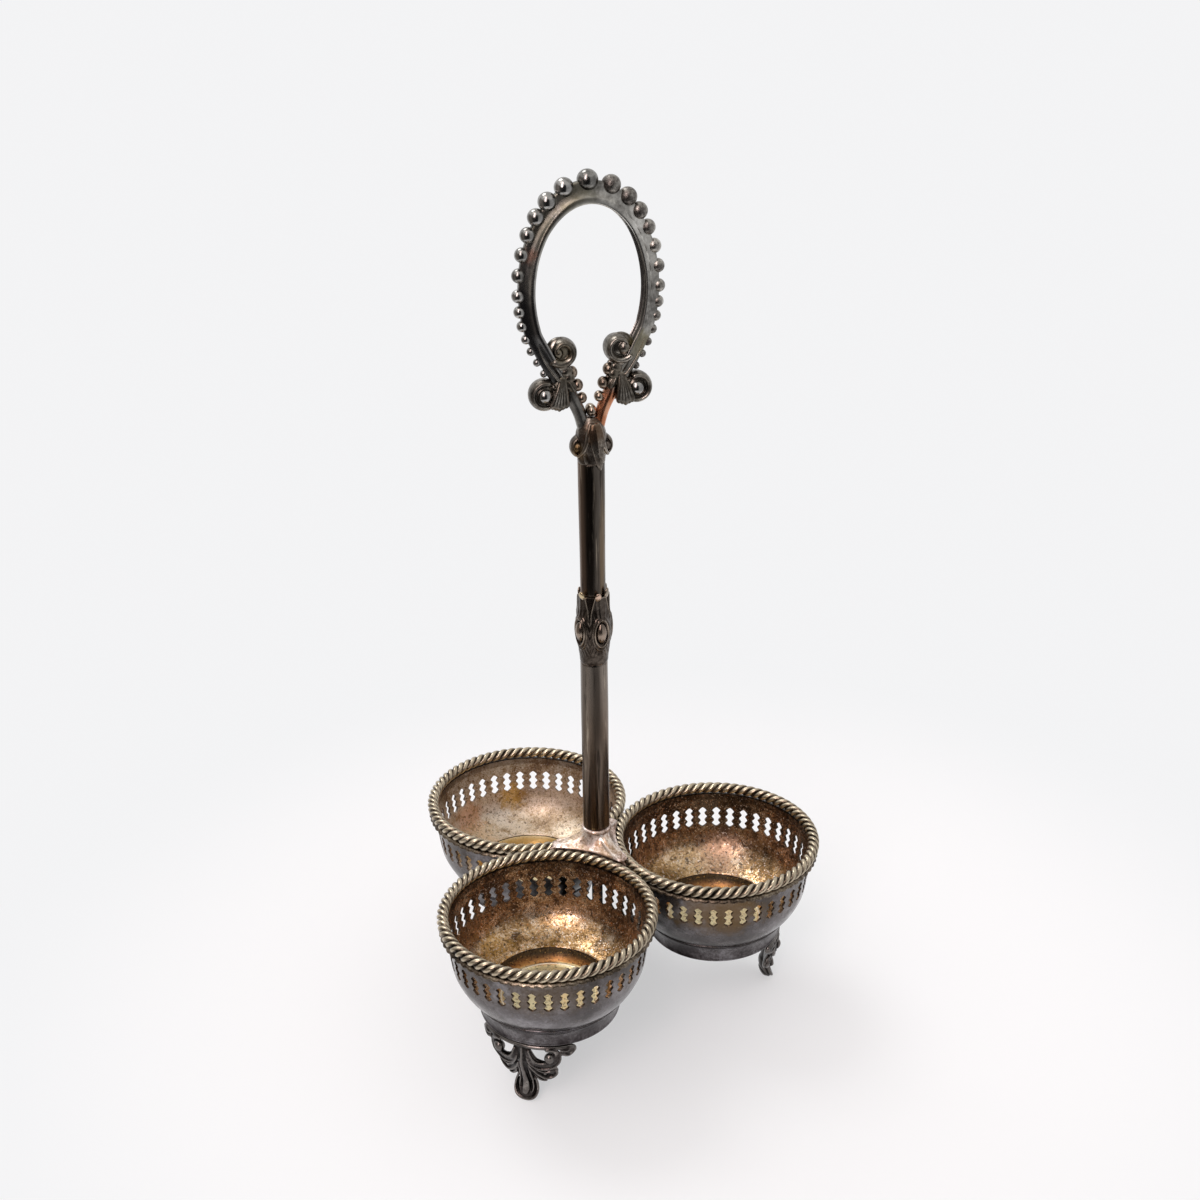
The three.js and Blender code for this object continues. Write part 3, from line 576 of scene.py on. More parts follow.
BEAD_BROWN = plate(
    "bead_brown", (0x2c2520, 0x74665a, 0xa29384, 0xcfc4b4), (60, 300, 900), (0.6, 0.5, 0.4), (0.2, 0.32),
    0.5, 0.0, 0.06)
BALL = plate(
    "ball_polish", (0x2a2725, 0x7e7c78, 0xaaa8a5, 0xd0cec9), (60, 300, 900), (0.5, 0.4, 0.3), (0.13, 0.24),
    0.5, 0.0, 0.03)
BALL_WORN = plate(
    "ball_worn", (0x34312e, 0x6a6561, 0x949089, 0xc8c4bd), (90, 420, 1300), (0.6, 0.6, 0.6), (0.3, 0.46),
    0.5, 0.0, 0.25, specks=[(1300, 0.58, 0x3c342d, 0.7), (1500, 0.63, 0xe0d8cc, 0.5)])
FIXING = plate(
    "dark_fixing", (0x141110, 0x2a2624, 0x45403b, 0x77706a), (45, 240, 1500), (0.6, 0.6, 0.3), (0.35, 0.55),
    0.4, 0.4, 0.25)


# Rope borders
def rope_border():
    """Round strands twisted along a ring, as one path that closes after as many rounds as there are."""
    steps = 14 * ROPE_CROWNS * STRANDS
    angle = np.linspace(0, 2 * np.pi * STRANDS, steps, endpoint=False)
    twist = angle[:, None] * ROPE_CROWNS / STRANDS
    out = polar(1.0, angle, 0.0)
    middle = out * ROPE_RADIUS + [0, 0, ROPE_HEIGHT]
    from_core = out * np.cos(twist) + [0, 0, 1] * np.sin(twist)
    path = middle + from_core * STRAND_FROM_CORE
    along = unit(np.roll(path, -1, axis=0) - np.roll(path, 1, axis=0))
    side = unit(np.cross(along, from_core))
    spin = around(14)[:, None]
    across = side[:, None] * np.cos(spin) + np.cross(side, along)[:, None] * np.sin(spin)
    rows = path[:, None] + STRAND_RADIUS * across
    depth = np.linalg.norm(rows - middle[:, None], axis=2)
    shape = Shape().grid(rows, close_along=True, relief=smoothstep(1.15, 2.1, depth))
    # The border's lower hem by radius, height, share of the scallop and relief
    hem = [(35.3, 61.3, 0, 0.1), (36.3, 61.2, 0.2, 0.2), (37.0, 60.8, 0.8, 0.4), (37.45, 60.35, 1, 0.6),
           (37.5, 59.95, 1, 0.6), (37.1, 59.85, 1, 0.4), (36.3, 60.35, 0.2, 0.2), (35.3, 60.5, 0, 0.2)]
    radius, height, share, relief = np.transpose(hem)
    angle = around(10 * ROPE_CROWNS)[:, None]
    scallop = share * SCALLOP * (np.abs(np.cos(ROPE_CROWNS * angle / 2 + 0.9)) - 0.5)
    return shape.grid(polar(radius + scallop, angle, height - scallop * 0.8), close_along=True, relief=relief)


# Bowls
# Half a slot, three chained lozenges, as (height from the middle, half width)
SLOT_EDGE = np.array([
    (-3.95, 0.1), (-3.75, 0.5), (-3.3, 1.05), (-2.85, 1.5), (-2.6, 1.64), (-2.3, 1.5), (-1.75, 1.0),
    (-1.5, 0.82), (-1.3, 0.82), (-1.05, 0.98), (-0.4, 1.6), (0.0, 1.8), (0.4, 1.6), (1.05, 0.98), (1.3, 0.82),
    (1.5, 0.82), (1.75, 1.0), (2.3, 1.5), (2.6, 1.64), (2.85, 1.5), (3.35, 1.02), (3.8, 0.48), (4.0, 0.1)])
# Each slot's columns of points: 0 on the slot's edges, and 1 in the middle of the metal beside it
BESIDE_SLOT = np.array([1, 0.75, 0.5, 0.25, 0, 0, 0.25, 0.5, 0.75])
LEFT_EDGE = 4


def bowl_metal():
    """The bowl's outer skin, and its lining with the slots' walls. Rows of points follow the slots' edges."""
    bottom, top = SLOT_BAND
    middle = (bottom + top) / 2
    slot_rows = middle + SLOT_EDGE[:, 0]
    heights = np.concatenate([
        np.linspace(BOWL_FOOT, bottom, 16)[:-1], np.linspace(bottom, slot_rows[0], 3)[:-1], slot_rows,
        np.linspace(slot_rows[-1], top, 3)[1:], np.linspace(top, BOWL_RIM, 8)[1:]])
    first = int(np.searchsorted(heights, slot_rows[0]))
    last = first + len(slot_rows) - 1
    curve = spline(BOWL_OUTER, 200)
    radius = np.interp(heights, curve[:, 1], curve[:, 0])
    slope = np.gradient(radius, heights)
    lean = np.hypot(1, slope)
    half = np.interp(heights - middle, *SLOT_EDGE.T, left=0.12, right=0.12) / radius
    pitch = 2 * np.pi / SLOTS
    side = np.repeat([-1, 1], [LEFT_EDGE + 1, LEFT_EDGE])
    offset = side * (half[:, None] + (pitch / 2 - half[:, None]) * BESIDE_SLOT)
    angle = (np.arange(SLOTS)[:, None] + 0.5) * pitch + offset[:, None]
    angle = angle.reshape(len(heights), -1)
    outside, inside = (polar(r[:, None], angle, z[:, None]) for r, z in (
        (radius, heights), (radius - SHEET / lean, heights + SHEET * slope / lean)))

    def hole(row, column):
        return column % len(BESIDE_SLOT) == LEFT_EDGE and first <= row < last

    outer = Shape().grid(outside, hole=hole, relief=np.where(heights > 59.6, 0.1, 0.5)[:, None])
    rolled = spline([(25.6, 33.9), (26.6, 33.8), (27.35, 33.85), (27.72, 34.15), (27.66, 34.5), (27.3, 34.75),
                     (27.1, 34.9), (26.6, 35.0)], 30)
    outer.turned(rolled, 160, relief=np.interp(rolled[:, 0], [26.0, 27.2, 27.6], [0.05, 0.3, 0.6]))
    lining = Shape()
    for column in range(LEFT_EDGE, angle.shape[1], len(BESIDE_SLOT)):
        edges = [np.vstack([skin[first:last + 1, column + 1], skin[first:last + 1, column][::-1]])
                 for skin in (outside, inside)]
        lining.grid(np.stack(edges, axis=1), close_across=False, close_along=True, relief=[0.12, 0.2])
    rim = np.stack([outside[-1], inside[-1]], axis=1)
    lining.grid(rim, close_across=False, close_along=True, relief=0.3)
    lining.grid(inside, flip=True, hole=hole, relief=np.where(heights > 58.5, 0.25, 0.55)[:, None])
    # A rounded shoulder runs down to the mouth of the base cup
    shoulder = spline([(31.97, 43.15), (31.5, 41.95), (30.85, 40.75), (29.95, 39.55), (28.8, 38.4),
                       (27.45, 37.4), (25.9, 36.5), (24.3, 35.7), (22.9, 35.05), (21.8, 34.52), (21.1, 34.12),
                       (20.8, 33.8), (21.1, 33.72), (23.0, 33.72), (25.0, 33.72)], 110)
    lining.turned(shoulder, 160, relief=np.where(shoulder[:, 1] < 33.9, 0.25, 0.55))
    return outer, lining


# Base cups
def cup_metal():
    """The turned cup's outside, and its well, a funnel down to a raised disc."""
    outside = spline([(23.4, 27.0), (23.4, 26.2), (23.6, 25.85), (24.1, 25.75), (24.6, 25.95), (24.75, 26.5),
                      (24.6, 27.1), (24.75, 28.2), (25.15, 29.8), (25.75, 31.4), (26.35, 32.4), (26.75, 32.9),
                      (26.8, 33.3), (26.5, 33.6), (25.6, 33.68), (23.0, 33.7), (21.1, 33.7),
                      (20.75, 33.5)], 90)
    well = spline([(20.75, 33.5), (20.52, 33.0), (20.15, 32.2), (19.65, 31.3), (19.05, 30.45), (18.4, 29.75),
                   (17.9, 29.4), (17.65, 29.35), (17.45, 29.5), (17.1, 29.6), (16.7, 29.4), (16.3, 29.15),
                   (15.2, 29.0), (10.0, 28.95), (5.0, 28.95), (0.02, 28.95)], 90)
    under = [(0.02, CUP_BOTTOM), (12.0, CUP_BOTTOM), (23.0, CUP_BOTTOM), (23.4, 27.0)]
    outer = Shape().turned(under, relief=0.3)
    outer.turned(outside, 160, relief=np.where(outside[:, 1] > 33.0, 0.15, 0.5))
    relief = np.interp(well[:, 0], [15.6, 16.5, 17.1, 17.5, 17.8, 18.5], [0.5, 0.6, 0.98, 0.8, 0.2, 0.5])
    return outer, Shape().turned(well, 160, relief=relief)


# Scroll feet
# The foot's line as (distance from the cup's axis, height)
LEAN = [(21.6, 0), (21.2, 2), (20.0, 5), (19.7, 8), (20.6, 12), (22.8, 18), (24.0, FOOT_TOP)]


def foot_shape():
    """Drawn flat with x across, y out and z up, then bent round the cup."""
    shape = Shape()

    def bar(points, wide, thick, steps=60, sides=14):
        """A flat bar through points, with half widths and half thicknesses spread along it."""
        wide = spread(wide, steps)
        shape.tube(spline(points, steps), wide, sides=sides, flat=spread(thick, steps) / wide)

    # Central stem of the leaf, which opens into the spoon-shaped toe
    bar([(0, 0, 25.0), (0, 0, 21), (0, 0, 17), (0, 0.1, 13), (0, 0.2, 9.5), (0, 0.3, 7.0)],
        [3.4, 2.6, 2.9, 3.2, 3.3, 3.6], [1.0, 1.1, 1.2, 1.3, 1.4, 1.5])
    shape.ball((0, -0.1, 4.4), (5.0, 1.9, 5.0), 40, 24)
    shape.ball((0, -0.9, 2.4), (4.2, 1.9, 2.4))
    half_rim = [(-3.6, 1.0, 9.4), (-4.7, 1.25, 6.4), (-4.75, 1.3, 3.9), (-3.6, 1.35, 1.9), (-1.8, 1.3, 0.95)]
    bar([*half_rim, (0, 1.25, 0.75), *mirrored(half_rim[::-1], -1)],
        [0.45, 0.6, 0.62, 0.6, 0.45], [0.5, 0.62, 0.6, 0.62, 0.5], 90, 10)
    # The tongue that runs down the stem and ends as a drop in the spoon
    shape.bar([(0.3, 0.9, 24.8), (0.1, 1.2, 21), (-0.4, 1.5, 17), (-0.4, 1.8, 13), (0.1, 2.1, 9.4),
               (0.5, 2.35, 6.8), (0.5, 2.4, 4.9), (0.1, 2.0, 3.2)], 60,
              [0.55, 0.6, 0.75, 1.15, 1.5, 1.2], [0, 0.3, 0.55, 0.78, 0.9, 1], sides=16)
    for points in (
            [(-1.9, 1.1, 15.5), (-2.2, 1.4, 11.5), (-2.4, 1.5, 8.2), (-2.7, 1.55, 5.2), (-1.8, 1.5, 2.9)],
            [(1.6, 1.1, 15.5), (2.1, 1.4, 11.5), (2.7, 1.5, 8.2), (3.1, 1.55, 5.2), (2.3, 1.5, 2.9)]):
        bar(points, [0.4, 0.5, 0.5, 0.4], [0.4, 0.5, 0.5, 0.35], 40, 10)
    bar([(-17.8, 0, 24.6), (-9, 0, 24.7), (0, 0, 24.8), (9, 0, 24.7), (17.8, 0, 24.6)],
        [0.8, 1.0, 0.8], [0.9, 1.1, 0.9])
    # Each half's bars: points, half widths, half thicknesses, steps and sides
    bars = [
        # Broad C scroll from the stem's top, round under the eye and up to the cup
        ([(1.8, 0.1, 23.8), (2.6, 0.2, 20.6), (4.0, 0.3, 18.0), (6.2, 0.4, 16.9), (8.8, 0.4, 16.5),
          (11.2, 0.3, 17.5), (12.4, 0.3, 19.6), (12.2, 0.2, 22.0)],
         [1.3, 1.7, 2.0, 2.1, 1.9, 1.7, 1.5, 1.2], [1.0, 1.2, 1.3, 1.3, 1.2, 1.1, 1.0], 80, 16),
        ([(12.6, 0.3, 21.0), (12.0, 0.4, 23.0), (10.4, 0.5, 24.0), (8.4, 0.5, 24.1)],
         [1.2, 1.1, 0.8], [1.0, 0.9]),
        # Raised lines of the scroll, and the curl that carries its ball
        ([(2.6, 1.1, 23.4), (3.5, 1.3, 20.4), (4.9, 1.5, 18.7), (6.9, 1.6, 18.2), (8.6, 1.5, 18.4)],
         [0.35, 0.45, 0.45, 0.4], [0.5, 0.55, 0.45], 50, 10),
        ([(1.7, 1.1, 20.4), (2.8, 1.4, 17.3), (4.6, 1.5, 15.6), (7.4, 1.6, 14.9), (10.2, 1.5, 15.4),
          (12.6, 1.2, 17.2), (13.6, 1.0, 19.8), (13.2, 0.9, 22.6)],
         [0.4, 0.5, 0.55, 0.5], [0.5, 0.6, 0.5], 70, 10),
        ([(11.8, 0.6, 22.6), (12.3, 0.8, 20.4), (11.5, 1.0, 18.5), (9.8, 1.1, 17.7), (8.3, 1.0, 18.4)],
         [0.5, 0.65, 0.55], [0.7, 0.8, 0.6], 40, 10),
        # Lines of the wing under the cup's edge
        ([(13.2, 0.6, 22.9), (14.8, 0.9, 21.8), (16.6, 0.9, 21.4), (18.4, 0.7, 22.6), (18.9, 0.5, 24.3)],
         [0.5, 0.7, 0.6], [0.6, 0.7, 0.5], 40, 10),
        ([(13.4, 0.7, 24.0), (15.2, 1.0, 23.3), (17.2, 0.9, 23.9)], [0.4, 0.5, 0.4], [0.5, 0.5], 24, 10),
        # Veins of the lower leaf
        ([(1.8, 1.0, 16.6), (3.2, 1.2, 13.6), (5.4, 1.3, 11.2), (8.2, 1.2, 9.6), (11.0, 1.0, 9.9),
          (12.6, 0.9, 11.6), (12.2, 1.0, 13.4)], [0.45, 0.6, 0.6, 0.5], [0.5, 0.6, 0.5], 60, 10),
        ([(3.4, 1.1, 16.0), (5.2, 1.2, 13.9), (7.8, 1.3, 12.8), (10.6, 1.2, 13.2)],
         [0.4, 0.5, 0.4], [0.5, 0.5], 40, 10),
        ([(3.4, 1.1, 12.4), (4.6, 1.2, 10.0), (6.4, 1.1, 8.5), (8.8, 0.9, 8.2)],
         [0.4, 0.5, 0.4], [0.5, 0.5], 40, 10)]
    # The scroll's ball, the wing, and the lower leaf's lobes and bud: centre, half sizes and lean
    balls = [((9.9, 0.7, 20.3), (1.95, 1.9, 2.2), 0), ((17.0, 0.0, 23.2), (2.8, 1.3, 2.3), 15),
             ((5.6, -0.1, 12.4), (4.6, 1.2, 4.3), 0), ((9.9, -0.1, 12.6), (3.5, 1.2, 2.9), 20),
             ((8.3, -0.1, 10.2), (3.3, 1.1, 2.2), -18), ((7.9, 0.9, 12.0), (1.0, 0.9, 0.9), 0)]
    for side in (-1, 1):
        for points, *sizes in bars:
            bar(mirrored(points, side), *sizes)
        for centre, size, lean in balls:
            shape.ball(mirrored(centre, side), size, turn=tilt(y=side * lean))

    def bend(points):
        x, y, z = points.T
        lean, height = np.transpose(LEAN)
        return polar(np.interp(z, height, lean) + y, x / FOOT_BEND - np.pi / 2, np.maximum(z, 0.0))

    return shape.moved(bend)


# Hub and stem
def hub_reach(angle):
    """Plan outline of the hub, hollow between three rounded tips, and the angle from the nearest tip."""
    third = 2 * np.pi / 3
    off = np.abs((angle - np.pi / 2 + third / 2) % third - third / 2)

    def round_edge(distance, turn, radius, way):
        """How far out the side of a circle is met, or far off where the direction misses it."""
        across = distance * np.sin(turn)
        reach = distance * np.cos(turn) + way * np.sqrt(np.maximum(radius ** 2 - across ** 2, 0))
        return np.where(across < radius, reach, 99)

    tip = round_edge(HUB_TIP, off, HUB_TIP_ROUND, 1)
    return np.minimum(tip, round_edge(BOWL_DISTANCE, third / 2 - off, HUB_HOLLOW, -1)), off


def hub_shape():
    """A trumpet that flares into three tips, each with a raised fold that runs down from the neck."""
    angles = around(360)
    reach, off = hub_reach(angles)
    reach = sum(np.roll(reach, shift) * weight / 9 for shift, weight in zip(range(-2, 3), (1, 2, 3, 2, 1)))
    share = np.array([[0, 0.03, 0.07, 0.12, 0.18, 0.25, 0.33, 0.42, 0.52, 0.62, 0.72, 0.81, 0.89, 0.95, 0.99,
                       1.0]]).T
    radius = HUB_NECK + (reach - HUB_NECK) * share
    fold = bell(off * radius, 1.9, 0.42)
    raised = (0.42 * fold + 0.2 * smoothstep(2.0, 1.5, off * radius)) * smoothstep(0.02, 0.3, share)
    raised *= 1 - smoothstep(0.9, 1.0, share)
    waist = 0.35 * np.cos(3 * (angles - np.pi / 2)) * share * (1 - share)
    edge = 0.5 * smoothstep(0.93, 1.0, share)
    height = HUB_BOTTOM + HUB_EDGE + HUB_RISE * (1 - share) ** 2.3
    flare = polar(radius, angles, height - edge + raised + waist)
    relief = 0.45 + 0.5 * fold * (share > 0.05) - 0.35 * (share > 0.97)
    skirt, bottom = HUB_SKIRT
    under = [flare[-1] * [1, 1, 0] + [0, 0, HUB_BOTTOM], polar(skirt, angles, HUB_BOTTOM),
             polar(skirt, angles, bottom)]
    rows = np.stack([polar(BORE, angles, height[0]), *flare, *under])
    relief = np.vstack([relief[:1], relief, np.full((len(under), len(angles)), 0.1)])
    shape = Shape().grid(rows[::-1], relief=relief[::-1])
    # Ribs under the three tips, between the bowls
    at = np.linspace(3.0, 17.2, 12)
    half_depth = 2.3
    wide = np.interp(at, [3, 9, 14, 17.2], [3.0, 1.9, 0.75, 0.4])
    for angle in np.radians((-30, 90, 210)):
        out = polar(1.0, angle, 0.0)
        shape.tube(out * at[:, None] + [0, 0, RIB_HEIGHT], half_depth, flat=wide / half_depth,
                   up=(-out[1], out[0], 0), relief=0.1)
    return shape


def knop_shape():
    """Cast knop: four oval stones in double frames, and a grooved plume that rises above each stone."""
    profile = spline([(4.6, 139.6), (4.8, 140.1), (4.93, 140.7), (5.05, 142.2), (5.35, 145.0), (5.8, 148.8),
                      (6.1, 152.4), (6.0, 155.6), (5.6, 158.6), (5.15, 161.6), (4.8, 163.9),
                      (4.6, 165.6)], 200)
    heights = np.linspace(*KNOP, 200)
    base = np.interp(heights, profile[:, 1], profile[:, 0])
    z, angle = np.meshgrid(heights, around(320), indexing="ij")
    quarter = np.pi / 2
    # The stones are a quarter turn apart but for one, which sits a little nearer the front
    toward = (np.degrees(angle) - NEAR_SIDE + 180) % 360 - 180
    nearer = np.radians(8 * bell(toward, STONES[1], 48))
    local = (angle - nearer - np.radians(STONES[0] + NEAR_SIDE) + quarter / 2) % quarter - quarter / 2
    between = (local + quarter) % quarter - quarter / 2
    u, v = local * KNOP_RADIUS, z - STONE_HEIGHT

    def oval(wide, tall, drop=0.0):
        """How far out a point lies, as a share of an oval's half width and half height."""
        return np.hypot(u / wide, (v + drop) / tall)

    stone, frame_in, frame_out = oval(2.0, 4.0), oval(2.65, 5.1), oval(3.5, 6.4, 0.1)
    lift = -0.5 * smoothstep(1.05, 0.9, frame_in) + 1.6 * np.sqrt(np.clip(1 - stone ** 2, 0, 1))
    lift = np.maximum(lift, 0.6 * bell(frame_in, 1, 0.13) - 0.5 * (frame_in < 0.8))
    lift += 0.3 * bell(frame_out, 1, 0.075) * smoothstep(159.5, 157.0, z)
    leaf_zone = smoothstep(1.05, 1.2, frame_out) * smoothstep(142.0, 145.0, z) * smoothstep(158.5, 155.0, z)
    lift += leaf_zone * 0.08 * np.cos(4.2 * (np.abs(between * 5.6) - 0.45 * (z - 143)))
    # Plumes meet in a V between the stones and stand off the tube at the top
    border = np.interp(z, [154, 157.5, 160.2, 162.8, 165.6], [4.95, 4.8, 4.5, 3.8, 2.9]) - np.abs(u)
    fan = np.arctan2(u, np.maximum(z - 149.5, 1.0))
    plume = (0.15 + 0.55 * smoothstep(160.0, 165.6, z)) * smoothstep(-0.1, 0.5, border)
    plume += 0.07 * np.cos(36 * fan) * smoothstep(0.5, 1.1, border) + 0.3 * bell(border, 0.4, 0.28)
    rows = polar(base[:, None] + lift + smoothstep(155.5, 159.0, z) * plume, angle, z)
    closed = np.stack([rows[0] * [0.6, 0.6, 1], *rows, rows[-1] * [0.6, 0.6, 1]])
    shape = Shape().grid(closed, caps=True)
    for toward, top, lean in ((-46, 167.5, 20), (19, 167.4, 20), (62, 168.4, 8), (134, 167.5, 20),
                              (199, 167.4, 20), (242, 166.6, 8)):
        shape.ball(on_stem(toward, 5.15, top - 1.9), (0.6, 1.2, 2.0), 24, 16,
                   turn=tilt(y=lean, z=toward + NEAR_SIDE))
    return shape


def tube_shape(span, radii):
    """A tube with the faint long waves and flats of drawn sheet."""
    low, high = span
    low_radius, high_radius = radii
    z = np.r_[low, np.linspace(low + 0.15, high - 0.15, 60), high][:, None]
    angle = around(96)
    wave = 0.05 * np.sin(5 * angle + 0.012 * z) + 0.02 * np.sin(11 * angle + 1) + 0.03 * np.sin(z * 0.16 + 1)
    outer = low_radius + (high_radius - low_radius) * (z - low) / (high - low) + wave - 0.06
    outer[[0, -1]] -= 0.12
    bore = polar(np.array([[high_radius], [low_radius]]) - TUBE_WALL, angle, np.array([[high], [low]]))
    return Shape().grid(np.vstack([polar(outer, angle, z), bore]), close_along=True)


def bead_shape():
    low, high = BEAD
    return Shape().turned([(BORE, low), (4.5, low), (5.1, 71.85), (5.4, 72.2), (5.4, 72.6), (5.2, 72.95),
                           (4.8, high), (BORE, high)], 96, relief=0.7)


# Collar and ring handle, in the handle's own plane
def collar_shape():
    """Leafy collar: scroll curls at its sides and a pointed leaf that hangs over each broad face."""
    low, high = COLLAR
    profile = [(4.3, low), (4.6, 213.2), (4.68, 214.4), (4.75, 216.5), (5.1, 219.5), (5.15, 221.5),
               (4.9, 223.5), (4.3, 225.6), (3.4, 227.4), (2.2, high)]
    radius, height = np.transpose(profile)
    levels = np.r_[low, np.linspace(212.9, 223.4, 70), height[-3:]]
    z, angle = np.meshgrid(levels, around(144), indexing="ij")
    flutes = 0.07 * np.cos(9 * angle + 1.2 * (z - 213)) * smoothstep(0.15, 0.6, np.abs(np.cos(angle)))
    flutes *= smoothstep(213.4, 214.6, z) * smoothstep(226, 223, z)
    rows = polar(np.interp(z, height, radius) + flutes, angle, z)
    rows[..., 1] *= np.interp(z, [223, 228.6], [1, 0.85])
    shape = Shape().grid(rows, caps=True)
    wide = spread([1.3, 2.0, 2.1, 1.6, 1.0, 0.3], 60, [0, 0.15, 0.35, 0.6, 0.85, 1])
    for side in (-1, 1):
        # Scroll curl, a fat bar rolled round a ball
        shape.ball((side * 4.7, 0, 218.5), (2.0, 2.5, 2.1), 56, 36)
        curl = [(3.2, 0, 222.4), (4.8, 0, 221.7), (6.2, 0, 220.2), (6.5, 0, 218.0), (5.5, 0, 216.2),
                (4.0, 0, 215.8)]
        shape.bar(mirrored(curl, side), 50, 0.8, sides=40, flat=2.5)
        # Hanging leaf on a broad face, one a half turn from the other: web, middle vein and edges
        out = -side
        leaf = spline(mirrored([(0.0, 3.9, 227.4), (0.2, 4.75, 225.2), (0.5, 5.1, 222.0), (0.9, 5.1, 218.0),
                                (1.3, 5.0, 214.6), (1.7, 4.75, 211.3)], side, out), 60)
        shape.tube(leaf, 0.95, sides=44, flat=wide / 0.95, up=(1, 0, 0))
        shape.tube(leaf + [0, out * 0.75, 0], spread([0.25, 0.42, 0.25], 60, [0, 0.4, 1]), sides=10)
        for edge in (-1, 1):
            border = leaf + [0, out * 0.2, 0]
            border[:, 0] += edge * wide * 0.9
            shape.tube(border, spread([0.4, 0.5, 0.25], 60), sides=10)
            # Leaf edge that sweeps from the fork down and under the curl, and a rib beside it
            sweep = [(1.2, 4.0, 227.6), (2.1, 4.7, 224.6), (2.7, 4.7, 221.2), (3.6, 4.1, 218.2),
                     (4.6, 2.9, 216.4), (5.4, 1.7, 215.8)]
            shape.bar(mirrored(sweep, edge, out), 50, [0.6, 0.8, 0.6], sides=20)
            rib = [(3.1, 4.0, 219.0), (3.2, 3.8, 216.2), (2.7, 4.05, 213.4)]
            shape.bar(mirrored(rib, edge, out), 24, 0.42, sides=8)
    return shape


# Half of the ring's section as (across, toward the ring's middle, relief)
BAND_SECTION = np.array([
    (0.0, 0.46, 0.15), (0.56, 0.48, 0.2), (0.78, 0.58, 0.5), (0.87, 0.86, 0.9), (0.94, 0.99, 1.0),
    (1.0, 0.95, 1.0), (1.03, 0.7, 0.85), (0.97, 0.4, 0.5), (0.76, 0.14, 0.36), (0.55, -0.3, 0.45),
    (0.47, -0.72, 0.4), (0.36, -1.0, 0.25), (0.0, -1.04, 0.2)])
# Half sizes of the band by height: height, across, toward the ring's middle
BAND_SIZES = [(224, 2.2, 1.9), (232, 2.3, 2.2), (240, 2.5, 2.6), (252, 3.0, 2.5), (270, 3.1, 2.45),
              (290, 3.1, 2.7), (301, 3.1, 3.45)]


def handle_path(count):
    """Up the right arm, round the oval and down the left arm, as (x, z) pairs."""
    across, up = np.add(RING_INNER, RING_OUTER) / 2
    arm = [(2.6, 224.6), (3.1, 227.2), (3.9, 230.2), (5.1, 233.2), (6.8, 236.6), (8.8, 239.9), (11.1, 243.3),
           (13.6, 247.4), (16.0, 252.0)]
    oval = [(across * math.sin(a), RING_MIDDLE + up * math.cos(a))
            for a in np.radians(np.arange(116, 0, -5.8))]
    left = [(-x, z) for x, z in arm + oval][::-1]
    return spline([*arm, *oval, (0, RING_MIDDLE + up), *left], count)


def band_shape():
    """The ring with its arms: a channel with thin lips inside that turns into a round bar in the arms."""
    x, z = handle_path(640).T
    along = unit(np.gradient(np.stack([x, z], axis=1), axis=0))
    height, across, deep = np.transpose(BAND_SIZES)
    channel = spline(np.vstack([BAND_SECTION, BAND_SECTION[-2::-1] * [-1, 1, 1]]), 73)[:-1]
    turn = around(72)
    bar = np.stack([np.sin(turn), np.cos(turn), np.full(72, 0.55)], axis=1)
    share = smoothstep(242, 235, z)[:, None, None]
    wide, inward, relief = np.moveaxis(channel * (1 - share) + bar * share, -1, 0)
    inward = inward * np.interp(z, height, deep)[:, None]
    rows = np.stack([x[:, None] - along[:, 1:] * inward, wide * np.interp(z, height, across)[:, None],
                     z[:, None] + along[:, :1] * inward], axis=-1)
    return Shape().grid(rows, caps=True, relief=np.clip(relief, 0, 1))


def spiral(centre, start, way, turns, outer, inner, count=90):
    t = np.linspace(0, 1, count)
    angle = np.radians(start + way * 360 * turns * t)
    radius = outer + (inner - outer) * t ** 1.25
    return np.stack([centre[0] + radius * np.cos(angle), 0 * t, centre[1] + radius * np.sin(angle)], axis=1)


def volute(shape, centre, start, way, turns, thick, eye):
    """A rolled scroll: a fat ribbon wound round a large ball eye that sits off the middle."""
    outer, width = VOLUTE_RADIUS, VOLUTE_HALF_WIDTH
    path = spiral(centre, start, way, turns, outer - thick, eye * 0.8)
    t = np.linspace(0, 1, len(path))
    deep = thick * (1 - 0.48 * t)
    shape.tube(path, deep, sides=72, flat=width * (1 - 0.1 * t) / deep)
    x, z = centre
    shape.ball((x - way * 1.3, 0, z - 0.2), (eye, width, eye * 1.1), 64, 40)
    shape.ball((x - way * 0.6, 0, z), (outer - 1.7, width * 0.66, outer - 1.7), 72, 48)


# Graded balls down each side of the ring, as (height, radius)
BALL_ROW = [(302.7, 3.15), (298.7, 3.05), (294.1, 2.85), (288.8, 2.6), (282.8, 2.45), (276.4, 2.35),
            (270.0, 2.2), (264.9, 2.0), (260.3, 1.85), (256.0, 1.6), (251.9, 1.4), (248.1, 1.3)]


def balls_shape(side):
    """One side's graded balls round the ring, and the small ball above its outer volute."""
    shape = Shape()
    for z, radius in BALL_ROW:
        x = RING_OUTER[0] * math.sqrt(1 - ((z - RING_MIDDLE) / RING_OUTER[1]) ** 2)
        shape.ball((side * x, 0, z), radius, 36, 22)
    return shape.ball((side * OUTER_VOLUTE[0], 0, 244.3), 1.25)


def beads_shape():
    """The beads inside the fork, with one across the crotch."""
    shape = Shape()
    for side in (-1, 1):
        for x, z, r in ((6.2, 243.9, 1.95), (4.35, 239.5, 1.9), (2.9, 235.1, 1.7)):
            shape.ball((side * x, 0, z), (r, r * 1.15, r * 1.1))
    return shape.ball((0, 0, 230.8), (1.8, 3.0, 2.1), 40, 24)


